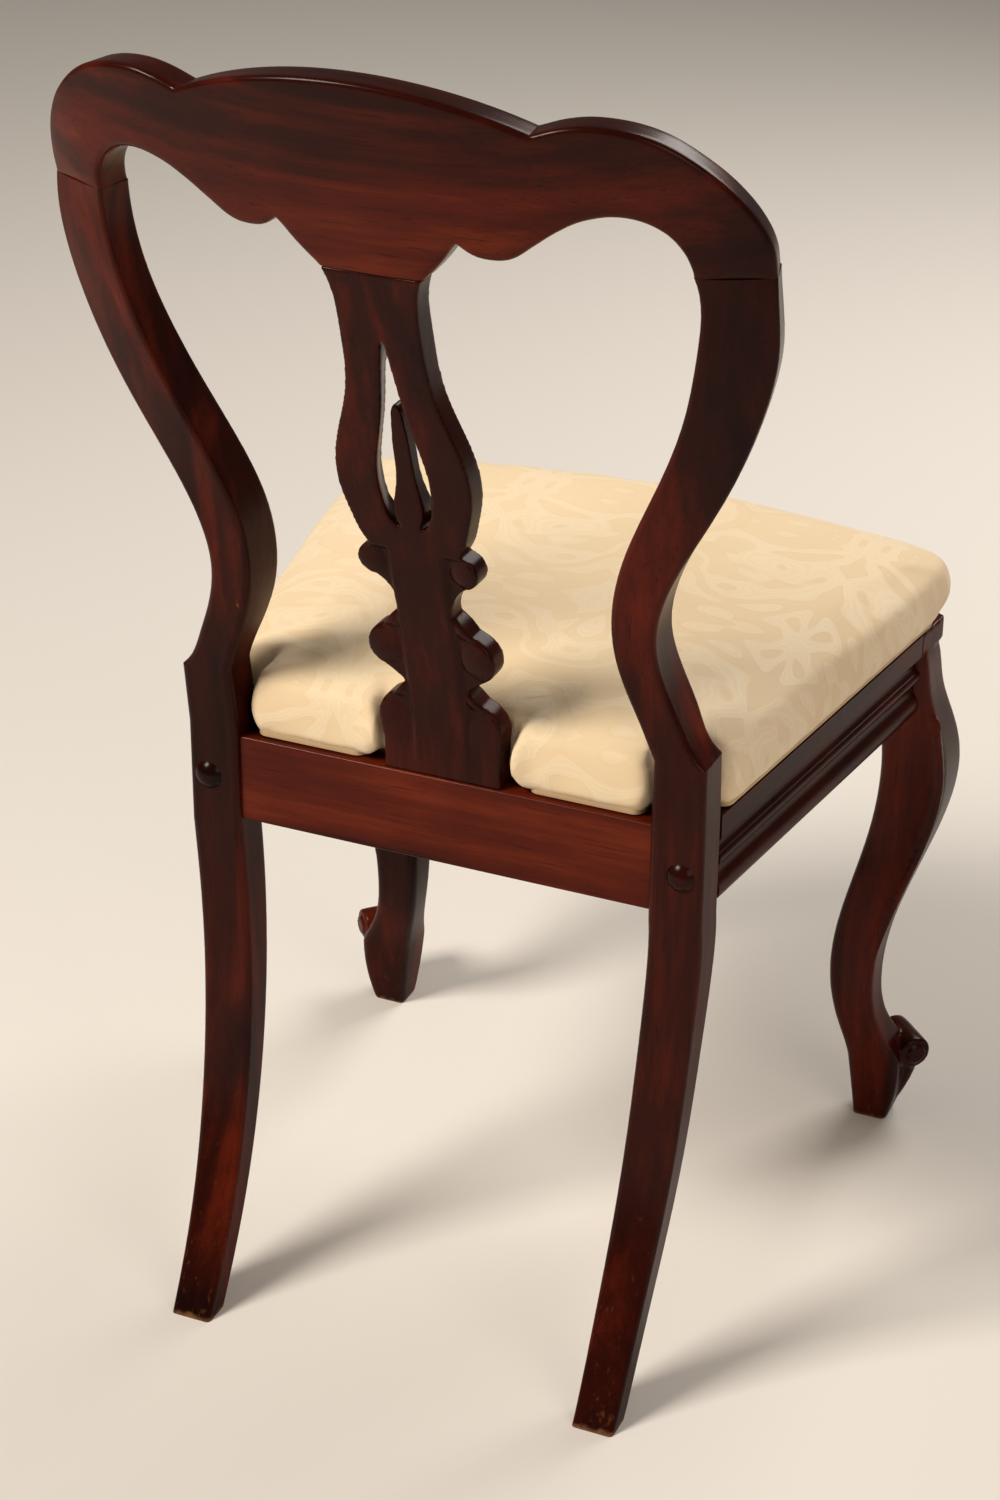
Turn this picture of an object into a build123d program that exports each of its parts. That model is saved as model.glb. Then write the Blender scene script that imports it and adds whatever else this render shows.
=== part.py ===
from build123d import *
from math import asin, atan, cos, degrees, radians, sin, sqrt, tan
import os

# Balloon back dining chair with cabriole front legs, sabre rear legs and an upholstered drop-on seat.
#
# Millimetres. +Z is up and the floor is Z = 0. The sitter faces -Y, and +X is the sitter's left.
# Every joint is a real one: mortises and tenons, dowels, and a bolt with a barrel nut at each rear corner.

os.makedirs("parts", exist_ok=True)

# ---------------------------------------------------------------- driving dimensions
# Seat frame
rail_top = 420.0              # floor to the top of the seat rails
rail_height = 63.0
rail_back_y = 141.2           # rear face of the rear rail
seat_depth = 381.0            # rear face of the rear rail to the front face of the front legs
front_width = 457.0           # over the two front corners
back_width = 370.0            # over the two rear posts at the rails
rear_rail_thickness = 25.0
side_rail_thickness = 26.0
front_rail_thickness = 25.0   # where it meets the legs
front_rail_bow = 26.0         # how far its middle stands forward of its ends
front_rail_set_back = 3.0     # ends behind the front of the leg caps
glue_gap = 0.1                # around tenons
hole_gap = 0.1                # around dowels, bolts and screws
bottom_gap = 1.0              # beyond the end of a tenon, a dowel or a bolt

# Side rail moulding, from the top down
fascia_height = 17.0
cove_height = 12.0
bead_height = 8.0
moulding_depth = 4.5          # how deep the coves are sunk behind the fascia
rail_arris = 1.5              # softened rear edges of the rear rail

# Rear posts
post_width = 37.0             # at the rail block
post_depth = 35.0
post_behind_rail = 5.0        # the posts stand out behind the rear rail
block_margin = 6.0            # straight part of the post above and below the rails
hip_rise = 50.0               # rail top to the shoulder of the post
stile_rise = 347.0            # shoulder to the joint with the crest
stile_lean = 55.0             # how far the post leans back between the shoulder and the joint
leg_sweep = 88.0              # how far the rear foot stands behind the block
post_rounding = 5.0
foot_rounding = 3.0

# Back
back_radius = 620.0           # plan radius of the bowed crest
crest_end_radius = 150.0      # the bow tightens over the joints with the posts
joint_outward = 45.4          # middle of the joint between crest and post outward of the post's block
joint_span = 42.6             # rear face of the joint, measured along X
joint_flare = 2.4             # the outer side of the joint is deeper than the inner one by this
crest_rise = 108.0            # joint with the posts to the top of the crest
crest_thickness = 26.0
crest_lean = 19.2             # degrees from upright
splat_thickness = 20.0
splat_head = 65.0              # width at the joint with the crest
splat_foot = 84.0              # width on the rear rail
splat_drop = 17.0             # the splat's top joint lies this far below the posts' joints
sawn_share = 0.55             # sawn sides turn this share of the face's own turn
arris_radius = 2.5            # softened edges of the crest
splat_arris = 1.5

# Front legs
leg_block = 42.0              # square of the blank at the rails
cap_step = 3.0                # the cap stands this far outside the leg's neck
leg_rounding = 6.0
leg_neck_rounding = 6.0
toe_radius = 13.0             # scroll at the tip of the toe
toe_length = 34.0
toe_height = 57.0             # floor to the middle of the scroll
toe_reach = 15.5              # its middle outward of the neck's, along X and along Y
toe_eye_radius = 7.5
toe_eye_length = 44.0         # over the two eyes
toe_rounding = 3.0

# Joinery
tenon_thickness = 10.0
tenon_height = 45.0
side_tenon_length = 20.0
front_tenon_length = 18.0
rear_tenon_length = 14.0
splat_tenon_thickness = 8.0
splat_tenon_length = 14.0
splat_tenon_shoulder = 12.0   # each side of a tenon of the splat
front_tenon_offset = 2.0      # toward the front
dowel_diameter = 9.0
dowel_length = 38.0
crest_dowel_spacing = 18.0
side_dowel_spacing = 36.0

# Rear corner bolts, their barrel nuts and the turned caps over their heads
bolt_inset = 14.5             # bolt axis from the post's outer face
bolt_diameter = 8.0
bolt_head_diameter = 15.0
bolt_head_height = 5.0
bolt_reach = 38.0             # length of the bolt inside the side rail
bolt_clearance = 0.5
nut_diameter = 12.0
nut_length = 14.0
nut_set_back = 30.0           # barrel nut from the shoulder of the rail
nut_cover = 1.0               # and below the inner face of the rail
counterbore_depth = 12.0
cap_diameter = 20.0
cap_dome = 5.0
cap_fit = 0.2                 # cap stem in the counterbore

# Seat pad
board_thickness = 9.0
board_inset = 6.5             # board edge inside the widest line of the pad
cover_thickness = 1.2
cover_return = 28.0           # fabric turned under the board
pad_height = 59.0             # rail top to the crown
pad_overhang = 6.0            # widest line of the pad outside the side rails
pad_front_overhang = 20.0     # and outside the front rail at its middle
pad_front_set_back = -6.0     # where the sides of the pad end behind the front of the legs
pad_set_back = -1.0           # rear of the pad from the rear face of the rear rail; less than zero hangs over
pad_corner_radius = 38.0
pad_notch_radius = 8.0
notch_clearance = 2.5         # pad to posts and splat
splat_notch_margin = 10.0     # beside the splat's foot
foam_skin = 0.1               # foam to cover

# Corner blocks and screws
corner_block_height = 38.0
corner_block_drop = 3.0       # below the top of the rails
corner_block_side = 62.0      # length along the side rail
corner_block_end = 45.0       # length along the front or rear rail
screw_diameter = 4.0
screw_length = 40.0
screw_spacing = 18.0          # between the two screws of a corner block
screw_head_diameter = 8.0
screw_head_height = 2.5
screw_bite = 7.0              # into the board
screw_recess = 25.0           # counterbore for the head, out through the block
block_screw_length = 30.0
block_screw_bite = 14.0       # into the rail
screw_from_post = 45.0        # places of the screws along the rails
screw_from_leg = 25.0
screw_from_end = 23.0
rear_screw_from_post = 21.0   # and of the seat screws from the posts and legs
seat_screw_inset = 8.0

# ---------------------------------------------------------------- places worked out from them
rail_bottom = rail_top - rail_height
rail_middle = rail_top - rail_height / 2
front_y = rail_back_y - seat_depth
leg_back_y = front_y + leg_block
post_back_y = rail_back_y + post_behind_rail
post_front_y = post_back_y - post_depth
post_outer_x = back_width / 2
post_middle_x = post_outer_x - post_width / 2
post_inner_x = post_outer_x - post_width
block_bottom = rail_bottom - block_margin
block_top = rail_top + block_margin
hip_z = rail_top + hip_rise
joint_z = hip_z + stile_rise
splat_joint_z = joint_z - splat_drop
crest_top = joint_z + crest_rise
corner_x = front_width / 2
splay = atan((corner_x - post_outer_x) / (post_front_y - front_y))
leg_inner_x = corner_x - leg_block
board_bottom = rail_top + cover_thickness
board_top = board_bottom + board_thickness
pad_top = rail_top + pad_height
bolt_x = post_outer_x - bolt_inset
bolt_seat_y = post_back_y - counterbore_depth
bolt_head_y = bolt_seat_y + bolt_head_height
bolt_tip_y = post_front_y - bolt_reach
bolt_hole = bolt_diameter + 2 * bolt_clearance
bolt_counterbore = bolt_head_diameter + 2 * bolt_clearance
nut_y = post_front_y - nut_set_back
nut_hole = nut_diameter + 2 * hole_gap
dowel_hole = dowel_diameter + 2 * hole_gap
screw_hole = screw_diameter + 2 * hole_gap
screw_head_hole = screw_head_diameter + 1.0
rear_rail_front_y = rail_back_y - rear_rail_thickness
rear_rail_y = rail_back_y - rear_rail_thickness / 2
front_rail_y = front_y + front_rail_set_back
front_radius = (leg_inner_x**2 + front_rail_bow**2) / (2 * front_rail_bow)
front_center_y = front_rail_y - front_rail_bow + front_radius
front_turn = asin(leg_inner_x / front_radius) + 0.05
block_top_z = rail_top - corner_block_drop
block_z = block_top_z - corner_block_height / 2


def rail_face_x(y):
    """Outer face of the left side rail at a given y: a straight line from the post to the front corner."""
    return post_outer_x + (post_front_y - y) * tan(splay)


def side_inner_x(y):
    """Inner face of the left side rail at a given y."""
    return rail_face_x(y) - side_rail_thickness / cos(splay)


nut_outer_x = side_inner_x(nut_y) + nut_cover + nut_length


def front_inner_y(x):
    """Inner face of the bowed front rail at a given x."""
    return front_center_y - sqrt((front_radius - front_rail_thickness)**2 - x**2)


def tenon(shoulder, reach, section, mode=Mode.ADD):
    """A tenon standing on its shoulder, or with Mode.SUBTRACT the mortise for it.

    The shoulder is the middle of its root, the reach goes along one axis, and section is zero on that axis.
    """
    reach = Vector(*reach)
    grow = 0
    if mode == Mode.SUBTRACT:
        grow = glue_gap
        reach += reach.normalized() * bottom_gap
    size = [abs(along) or across + 2 * grow for along, across in zip(reach, section)]
    with Locations(Vector(*shoulder) + reach / 2):
        Box(*size, mode=mode)


def rod(start, end, diameter, mode=Mode.ADD):
    """A round bar between two points, or with Mode.SUBTRACT a hole."""
    axis = Vector(*end) - Vector(*start)
    with Locations(Plane(origin=Vector(*start), z_dir=axis)):
        Cylinder(diameter / 2, axis.length, align=(Align.CENTER, Align.CENTER, Align.MIN), mode=mode)


def bore(start, end, diameter):
    """The hole for a round bar, a little longer at both ends."""
    beyond = (Vector(*end) - Vector(*start)).normalized() * bottom_gap
    rod(Vector(*start) - beyond, Vector(*end) + beyond, diameter, mode=Mode.SUBTRACT)


def finish(builder, label):
    """Name a finished piece and write it."""
    builder.part.label = label
    export_step(builder.part, f"parts/{label}.step")


def finish_pair(builder, label):
    """Write the left piece and its mirror image on the right."""
    finish(builder, label + "_left")
    with BuildPart() as twin:
        mirror(builder.part, about=Plane.YZ)
    finish(twin, label + "_right")


# ---------------------------------------------------------------- rear posts
# Sections of the sabre leg: share of the height from the floor to the block, then how far the
# middle of the section lies inward of the block's, how much of the sweep is left, width and depth.
leg_sections = (
    (0.00, 13.5, 1.00, 30.0, 24.0),
    (0.15, 12.7, 0.66, 31.5, 24.5),
    (0.30, 10.9, 0.39, 33.5, 25.5),
    (0.47, 8.2, 0.17, 35.5, 27.0),
    (0.65, 5.5, 0.035, 36.5, 29.5),
    (0.83, 2.2, -0.025, 37.0, 32.5),
)
# Sections of the stile below the joint: share of the height from the shoulder to the joint, then how far
# its middle lies outward of the block's, share of the lean, share of the joint's turn, width and depth.
stile_sections = (
    (0.000, 1.5, 0.000, 0.00, 36.0, 34.0),
    (0.078, -10.8, 0.080, 0.00, 29.3, 39.0),
    (0.150, -20.0, 0.155, 0.00, 28.8, 41.8),
    (0.250, -26.4, 0.262, 0.00, 29.0, 40.5),
    (0.350, -21.4, 0.342, 0.08, 33.2, 38.8),
    (0.470, -4.2, 0.435, 0.36, 40.2, 36.8),
    (0.600, 17.8, 0.555, 0.54, 43.8, 34.0),
    (0.725, 34.4, 0.680, 0.68, 45.4, 30.4),
    (0.860, 45.2, 0.830, 0.84, 47.2, 27.6),
)
hip_back_y = post_back_y + 4.0
joint_x = post_middle_x + joint_outward
joint_inner_x = joint_x - joint_span / 2
joint_outer_x = joint_x + joint_span / 2
bow_turn = asin(joint_inner_x / back_radius)     # where the bow tightens
bow_end_x = (back_radius - crest_end_radius) * sin(bow_turn)     # middle of the tighter arc
bow_end_drop = back_radius - (back_radius - crest_end_radius) * cos(bow_turn)


def crest_drop(x):
    """How far forward of its middle the rear face of the bowed crest lies at x, all at one height."""
    if x <= joint_inner_x:
        return back_radius - sqrt(back_radius**2 - x**2)
    return bow_end_drop - sqrt(crest_end_radius**2 - (x - bow_end_x)**2)


joint_fall = crest_drop(joint_outer_x) - crest_drop(joint_inner_x)
joint_width = sqrt(joint_span**2 + joint_fall**2)
joint_turn = atan(joint_fall / joint_span)
joint_bulge = crest_end_radius - sqrt(crest_end_radius**2 - joint_width**2 / 4)
joint_depth = crest_thickness
joint_back_y = hip_back_y + stile_lean
side_turn = joint_turn * sawn_share
crest_center_y = joint_back_y + (crest_drop(joint_outer_x) + crest_drop(joint_inner_x)) / 2
lean_direction = Vector(0, sin(radians(crest_lean)), cos(radians(crest_lean)))
crest_end_turn = radians(50)                 # arc of the tighter ends, well past the posts
saw_distance = joint_x / tan(side_turn)      # the sawn sides all point at a line this far in front
saw_back_y = crest_center_y + 60
saw_front_y = joint_back_y - crest_thickness - 30
splat_back_y = rail_back_y - 1.0
splat_rise = splat_joint_z - rail_top
splat_joint_back_y = crest_center_y - splat_drop * tan(radians(crest_lean))
splat_reach = splat_joint_back_y - splat_back_y

# ---------------------------------------------------------------- joints of the left side
side_dowel_rises = (-side_dowel_spacing / 2, side_dowel_spacing / 2)
crest_dowel_offsets = (-crest_dowel_spacing / 2, crest_dowel_spacing / 2)
side_tenon = ((rail_face_x(leg_back_y) - side_rail_thickness / cos(splay) / 2, leg_back_y, rail_middle),
              (0, -side_tenon_length, 0), (tenon_thickness, 0, tenon_height))
splat_foot_tenon = ((0, splat_back_y - splat_thickness / 2, rail_top), (0, 0, -splat_tenon_length),
                    (splat_foot - 2 * splat_tenon_shoulder, splat_tenon_thickness, 0))
splat_head_tenon = ((0, splat_joint_back_y - splat_thickness / 2, splat_joint_z), (0, 0, splat_tenon_length),
                    (splat_head - 2 * splat_tenon_shoulder, splat_tenon_thickness, 0))


def rear_tenon(side):
    """Tenon of the rear rail in a post: 1 is left and -1 is right."""
    return ((side * post_inner_x, rear_rail_y, rail_middle), (side * rear_tenon_length, 0, 0),
            (0, tenon_thickness, tenon_height))


def front_tenon(side):
    """Tenon of the front rail in a leg."""
    return ((side * leg_inner_x, front_rail_y + front_rail_thickness / 2 - front_tenon_offset, rail_middle),
            (side * front_tenon_length, 0, 0), (0, tenon_thickness, tenon_height))


def side_dowel(rise):
    """Ends of a dowel between the post and the side rail, above or below the bolt."""
    z = rail_middle + rise
    return (bolt_x, post_front_y - dowel_length / 2, z), (bolt_x, post_front_y + dowel_length / 2, z)


def crest_dowel(offset, side):
    """Ends of a dowel between a post and the crest, offset across the post."""
    x = side * (joint_x - joint_depth / 2 * sin(side_turn) + offset * cos(joint_turn))
    y = joint_back_y - joint_depth / 2 * cos(side_turn) - offset * sin(joint_turn)
    return (x, y, joint_z - dowel_length / 2), (x, y, joint_z + dowel_length / 2)


# Screws of the corner blocks: the place of the head's seat, and the way the screw points
screw_stand_off = block_screw_length - block_screw_bite
rear_side_screw_y = post_front_y - screw_from_post
front_side_screw_y = leg_back_y + screw_from_leg
front_end_screw_x = leg_inner_x - screw_from_end
rear_side_screw = ((side_inner_x(rear_side_screw_y) - screw_stand_off, rear_side_screw_y,
                    block_z + screw_spacing / 2), (1, 0, 0))
rear_end_screw = ((post_inner_x - screw_from_end, rear_rail_front_y - screw_stand_off,
                   block_z - screw_spacing / 2), (0, 1, 0))
front_side_screw = ((side_inner_x(front_side_screw_y) - screw_stand_off, front_side_screw_y,
                     block_z + screw_spacing / 2), (1, 0, 0))
front_end_screw = ((front_end_screw_x, front_inner_y(front_end_screw_x) + screw_stand_off,
                    block_z - screw_spacing / 2), (0, -1, 0))
block_screws = {"rear": (rear_side_screw, rear_end_screw), "front": (front_side_screw, front_end_screw)}
seat_screw_places = {"rear": (post_inner_x - seat_screw_inset, post_front_y - rear_screw_from_post),
                     "front": (leg_inner_x - seat_screw_inset, leg_back_y + seat_screw_inset)}


def block_screw_rod(place, side):
    """Ends of the shank of a corner block's screw."""
    seat, way = place
    start = Vector(side * seat[0], seat[1], seat[2])
    return start, start + Vector(side * way[0], way[1], way[2]) * block_screw_length


def seat_screw_rod(place, side=1):
    """Ends of the shank of a screw that goes up through a corner block into the seat board."""
    x, y = seat_screw_places[place]
    tip = Vector(side * x, y, board_bottom + screw_bite)
    return tip - Vector(0, 0, screw_length), tip



def post_section(z, middle_x, back_y, width, depth, turn_share, side_share, rounding):
    """One horizontal section of the left post: a rounded quadrilateral with bowed faces.

    Its rear face turns with the bow of the back, and its sides turn less, as they are sawn.
    """
    turn = joint_turn * turn_share
    side = side_turn * side_share
    half = width / 2
    rear_outer = (middle_x + half * cos(turn), back_y - half * sin(turn))
    rear_inner = (middle_x - half * cos(turn), back_y + half * sin(turn))
    outer_depth = depth + joint_flare * turn_share
    front_inner = (rear_inner[0] - depth * sin(side), rear_inner[1] - depth * cos(side))
    front_outer = (rear_outer[0] - outer_depth * sin(side), rear_outer[1] - outer_depth * cos(side))
    with BuildSketch(Plane.XY.offset(z)) as section:
        with BuildLine():
            for start, end in ((rear_outer, rear_inner), (front_outer, front_inner)):
                if turn_share:
                    bow = joint_bulge * turn_share
                    middle = ((start[0] + end[0]) / 2 + bow * sin(turn),
                              (start[1] + end[1]) / 2 + bow * cos(turn))
                    ThreePointArc(start, middle, end)
                else:
                    Line(start, end)
            Line(rear_inner, front_inner)
            Line(rear_outer, front_outer)
        make_face()
        fillet(section.vertices(), rounding)
    return section.sketch


def block_section(z):
    """Section of the straight block of the post."""
    return post_section(z, post_middle_x, post_back_y, post_width, post_depth, 0, 0, post_rounding)


sabre_leg = []
for share, inward, sweep, width, depth in leg_sections:
    rounding = foot_rounding + (post_rounding - foot_rounding) * share
    sabre_leg.append(post_section(block_bottom * share, post_middle_x - inward,
                                  post_back_y + leg_sweep * sweep, width, depth, 0, 0, rounding))
sabre_leg.append(block_section(block_bottom))
stile = []
for share, outward, lean, turn_share, width, depth in stile_sections:
    rounding = post_rounding + (arris_radius - post_rounding) * share
    stile.append(post_section(hip_z + stile_rise * share, post_middle_x + outward,
                              hip_back_y + stile_lean * lean, width, depth, turn_share, share, rounding))
stile.append(post_section(joint_z, joint_x, joint_back_y, joint_width, joint_depth, 1, 1, arris_radius))

with BuildPart() as rear_post:
    loft(sabre_leg)
    loft([block_section(block_bottom), block_section(block_top)], ruled=True)
    loft([block_section(block_top), stile[0]], ruled=True)
    loft(stile)
    tenon(*rear_tenon(1), mode=Mode.SUBTRACT)
    for rise in side_dowel_rises:
        bore(*side_dowel(rise), dowel_hole)
    for offset in crest_dowel_offsets:
        bore(*crest_dowel(offset, 1), dowel_hole)
    bore((bolt_x, bolt_seat_y, rail_middle), (bolt_x, bolt_tip_y, rail_middle), bolt_hole)
    rod((bolt_x, bolt_seat_y, rail_middle), (bolt_x, post_back_y + cap_dome, rail_middle),
        bolt_counterbore, mode=Mode.SUBTRACT)
finish_pair(rear_post, "rear_post")


# ---------------------------------------------------------------- crest rail


def crest_spread(y):
    """The sawn outline of the crest spreads with the distance behind the joint by this factor."""
    return 1 + (y - joint_back_y) / saw_distance


def crest_line(face_y):
    """The sawn outline of the crest where it crosses the upright plane at face_y.

    Points are places on the joint's own plane.
    """
    spread = crest_spread(face_y)
    inner = joint_inner_x / crest_spread(crest_center_y - crest_drop(joint_inner_x))
    outer = joint_outer_x / crest_spread(crest_center_y - crest_drop(joint_outer_x))

    def at(x, rise):
        return (x * spread, joint_z + rise)

    for side in (1, -1):
        # Shoulder, from the notch beside the middle arch round to the post
        top = side * outer
        Spline(at(top * 0.431, 86), at(top * 0.572, 94), at(top * 0.736, 86), at(top * 0.886, 59),
               at(top * 0.968, 28), at(top, 0), tangents=[(side * 1, 0.35), (0, -1)])
        # Underside: over the opening, down to the drop, and up to the cusp beside the splat
        under = side * inner
        Line(at(top, 0), at(under, 0))
        Spline(at(under, 0), at(under * 0.954, 24), at(under * 0.793, 39), at(under * 0.592, 25),
               at(under * 0.423, 3), tangents=[(0, 1), (-side * 1, 0)])
        RadiusArc(at(under * 0.423, 3), at(under * 0.306, 13), under * 0.166 * spread)
        Spline(at(under * 0.306, 13), at(under * 0.232, -2), at(side * splat_head / 2, -splat_drop),
               tangents=[(-side * 0.6, -0.7), (-side * 0.6, -1)])
    Line(at(splat_head / 2, -splat_drop), at(-splat_head / 2, -splat_drop))
    ThreePointArc(at(outer * 0.431, 86), at(0, crest_rise), at(-outer * 0.431, 86))


def crest_face(y, set_in):
    """Plan curve of the bowed crest, set in from its rear face. Gives back its right-hand end."""
    radius = back_radius - set_in
    end_radius = crest_end_radius - set_in
    bow_end = (radius * sin(bow_turn), y - back_radius + radius * cos(bow_turn))
    ThreePointArc((-bow_end[0], bow_end[1]), (0, y - set_in), bow_end)
    for side in (1, -1):
        ends = [(side * (bow_end_x + end_radius * sin(turn)), y - bow_end_drop + end_radius * cos(turn))
                for turn in (bow_turn, bow_turn + crest_end_turn / 2, bow_turn + crest_end_turn)]
        ThreePointArc(*ends)
    return ends[-1]


with BuildPart() as crest_rail:
    blank_bottom = splat_joint_z - 10
    blank_center_y = crest_center_y - (joint_z - blank_bottom) * tan(radians(crest_lean))
    with BuildSketch(Plane.XY.offset(blank_bottom)):
        with BuildLine():
            rear_end = crest_face(blank_center_y, 0)
            front_end = crest_face(blank_center_y, crest_thickness)
            for side in (1, -1):
                Line((side * rear_end[0], rear_end[1]), (side * front_end[0], front_end[1]))
        make_face()
    extrude(amount=crest_rise + 60, dir=lean_direction)
    outlines = []
    for face_y in (saw_back_y, saw_front_y):
        with BuildSketch(Plane.XZ.offset(-face_y)) as outline:
            with BuildLine():
                crest_line(face_y)
            make_face()
        outlines.append(outline.sketch)
    loft(outlines, ruled=True, mode=Mode.INTERSECT)
    long_edges = crest_rail.edges().filter_by(lambda edge: edge.length > crest_thickness + 5)
    shaped = long_edges.filter_by(lambda edge: edge.center().Z > joint_z + 1
                                  or edge.bounding_box().size.Z > 5)
    fillet(shaped, arris_radius)
    for side in (1, -1):
        for offset in crest_dowel_offsets:
            bore(*crest_dowel(offset, side), dowel_hole)
    tenon(*splat_head_tenon, mode=Mode.SUBTRACT)
finish(crest_rail, "crest_rail")


# ---------------------------------------------------------------- splat
# Rear face of the splat in side view: share of the rise, share of the reach
splat_curve = ((0.0, 0.0), (0.18, 0.105), (0.36, 0.295), (0.59, 0.545), (0.88, 0.86), (1.0, 1.0))


def splat_side(set_in):
    """The splat's side curve, moved forward of its rear face."""
    return [(splat_back_y + splat_reach * reach - set_in, rail_top + splat_rise * rise)
            for rise, reach in splat_curve]


def on_splat(x, rise):
    """A place on the splat seen from behind: across from its middle, and share of its rise."""
    return (x, rail_top + splat_rise * rise)


def splat_edge(side):
    """Sawn edge of one half of the splat, from the crest down to the rail."""
    def at(x, rise):
        return on_splat(side * x, rise)

    # Vase
    Spline(at(splat_head / 2, 1), at(26.5, 0.88), at(30, 0.775), at(43, 0.66), at(44.5, 0.585),
           at(39, 0.526), at(30, 0.474), tangents=[(-side * 0.5, -1), (-side * 0.8, -1)])
    # Upper, middle and lower lobes with the cusps between them
    ThreePointArc(at(30, 0.474), at(41, 0.440), at(31, 0.408))
    ThreePointArc(at(31, 0.408), at(21, 0.378), at(19, 0.343))
    ThreePointArc(at(19, 0.343), at(25, 0.328), at(30, 0.306))
    ThreePointArc(at(30, 0.306), at(44, 0.262), at(33, 0.212))
    Line(at(33, 0.212), at(22, 0.187))
    ThreePointArc(at(22, 0.187), at(27, 0.173), at(31, 0.160))
    ThreePointArc(at(31, 0.160), at(40, 0.140), at(43.5, 0.100))
    ThreePointArc(at(43.5, 0.100), at(41.5, 0.048), at(splat_foot / 2, 0))


with BuildPart() as splat:
    with BuildSketch(Plane.YZ.offset(-splat_foot)):
        with BuildLine():
            Spline(*splat_side(0), tangents=[(0, 1), (0.33, 1)])
            Line(splat_side(0)[-1], splat_side(splat_thickness)[-1])
            Spline(*splat_side(splat_thickness), tangents=[(0, 1), (0.33, 1)])
            Line(splat_side(splat_thickness)[0], splat_side(0)[0])
        make_face()
    extrude(amount=2 * splat_foot)
    with BuildSketch(Plane.XZ.offset(-splat_joint_back_y - 1)):
        with BuildLine():
            splat_edge(1)
            splat_edge(-1)
            Line((-splat_head / 2, splat_joint_z), (splat_head / 2, splat_joint_z))
            Line((-splat_foot / 2, rail_top), (splat_foot / 2, rail_top))
        make_face()
        # Pierced drop with a flame standing in it
        with BuildLine(mode=Mode.PRIVATE) as drop:
            for side in (1, -1):
                Spline(on_splat(0, 0.892), on_splat(side * 3.3, 0.83), on_splat(side * 9.8, 0.72),
                       on_splat(side * 17.2, 0.625), on_splat(side * 16.4, 0.567), on_splat(side * 8, 0.52),
                       tangents=[(side * 0.15, -1), (-side, -0.4)])
            Line(on_splat(8, 0.52), on_splat(-8, 0.52))
        make_face(drop.edges(), mode=Mode.SUBTRACT)
        with BuildLine(mode=Mode.PRIVATE) as flame:
            for side in (1, -1):
                Spline(on_splat(0, 0.757), on_splat(side * 4.8, 0.722), on_splat(side * 6.3, 0.68),
                       on_splat(side * 6.9, 0.63), on_splat(side * 9.6, 0.578), on_splat(side * 5.5, 0.515),
                       tangents=[(side, -0.6), (-side * 0.5, -1)])
            Line(on_splat(5.5, 0.515), on_splat(-5.5, 0.515))
        make_face(flame.edges())
    extrude(amount=splat_reach + splat_thickness + 2, mode=Mode.INTERSECT)
    tenon(*splat_foot_tenon)
    tenon(*splat_head_tenon)
finish(splat, "splat")


# ---------------------------------------------------------------- rear seat rail
with BuildPart() as rear_seat_rail:
    with BuildSketch(Plane.XY.offset(rail_bottom)):
        with Locations((0, rear_rail_y)):
            Rectangle(2 * post_inner_x, rear_rail_thickness)
    extrude(amount=rail_height)
    fillet(rear_seat_rail.edges().filter_by(Axis.X).group_by(Axis.Y)[-1], rail_arris)
    for side in (1, -1):
        tenon(*rear_tenon(side))
        bore(*block_screw_rod(rear_end_screw, side), screw_hole)
    tenon(*splat_foot_tenon, mode=Mode.SUBTRACT)
finish(rear_seat_rail, "rear_seat_rail")


# ---------------------------------------------------------------- side seat rails
def rail_profile(thickness):
    """Moulded rail section. The first axis is zero on the fascia and points outward; the other is height."""
    cove_top = rail_top - fascia_height
    bead_top = cove_top - cove_height
    bead_bottom = bead_top - bead_height
    torus_top = bead_bottom - cove_height
    quirk = -moulding_depth / 2
    Polyline((quirk, rail_bottom), (-thickness, rail_bottom), (-thickness, rail_top), (0, rail_top),
             (0, cove_top))
    ThreePointArc((0, cove_top), (-moulding_depth, cove_top - cove_height * 0.45), (quirk, bead_top))
    ThreePointArc((quirk, bead_top), (0, bead_top - bead_height / 2), (quirk, bead_bottom))
    ThreePointArc((quirk, bead_bottom), (-moulding_depth, bead_bottom - cove_height * 0.55),
                  (quirk, torus_top))
    ThreePointArc((quirk, torus_top), (0, (torus_top + rail_bottom) / 2), (quirk, rail_bottom))


rail_plane = Plane(origin=(post_outer_x, post_front_y, 0), x_dir=(cos(splay), sin(splay), 0),
                   z_dir=(sin(splay), -cos(splay), 0))
side_rail_length = (post_front_y - leg_back_y) / cos(splay)

with BuildPart() as side_rail:
    with BuildSketch(rail_plane.offset(-side_rail_thickness)):
        with BuildLine():
            rail_profile(side_rail_thickness)
        make_face()
    extrude(amount=side_rail_length + 2 * side_rail_thickness)
    split(bisect_by=Plane.XZ.offset(-post_front_y), keep=Keep.TOP)
    split(bisect_by=Plane.XZ.offset(-leg_back_y), keep=Keep.BOTTOM)
    tenon(*side_tenon)
    for rise in side_dowel_rises:
        bore(*side_dowel(rise), dowel_hole)
    bore((bolt_x, bolt_seat_y, rail_middle), (bolt_x, bolt_tip_y, rail_middle), bolt_hole)
    bore((nut_outer_x - nut_length - nut_diameter, nut_y, rail_middle), (nut_outer_x, nut_y, rail_middle),
         nut_hole)
    for screw_place in (rear_side_screw, front_side_screw):
        bore(*block_screw_rod(screw_place, 1), screw_hole)
finish_pair(side_rail, "side_rail")


# ---------------------------------------------------------------- front seat rail
front_outward = Vector(-sin(front_turn), -cos(front_turn), 0)      # radius at the right-hand end of the bow

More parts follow.
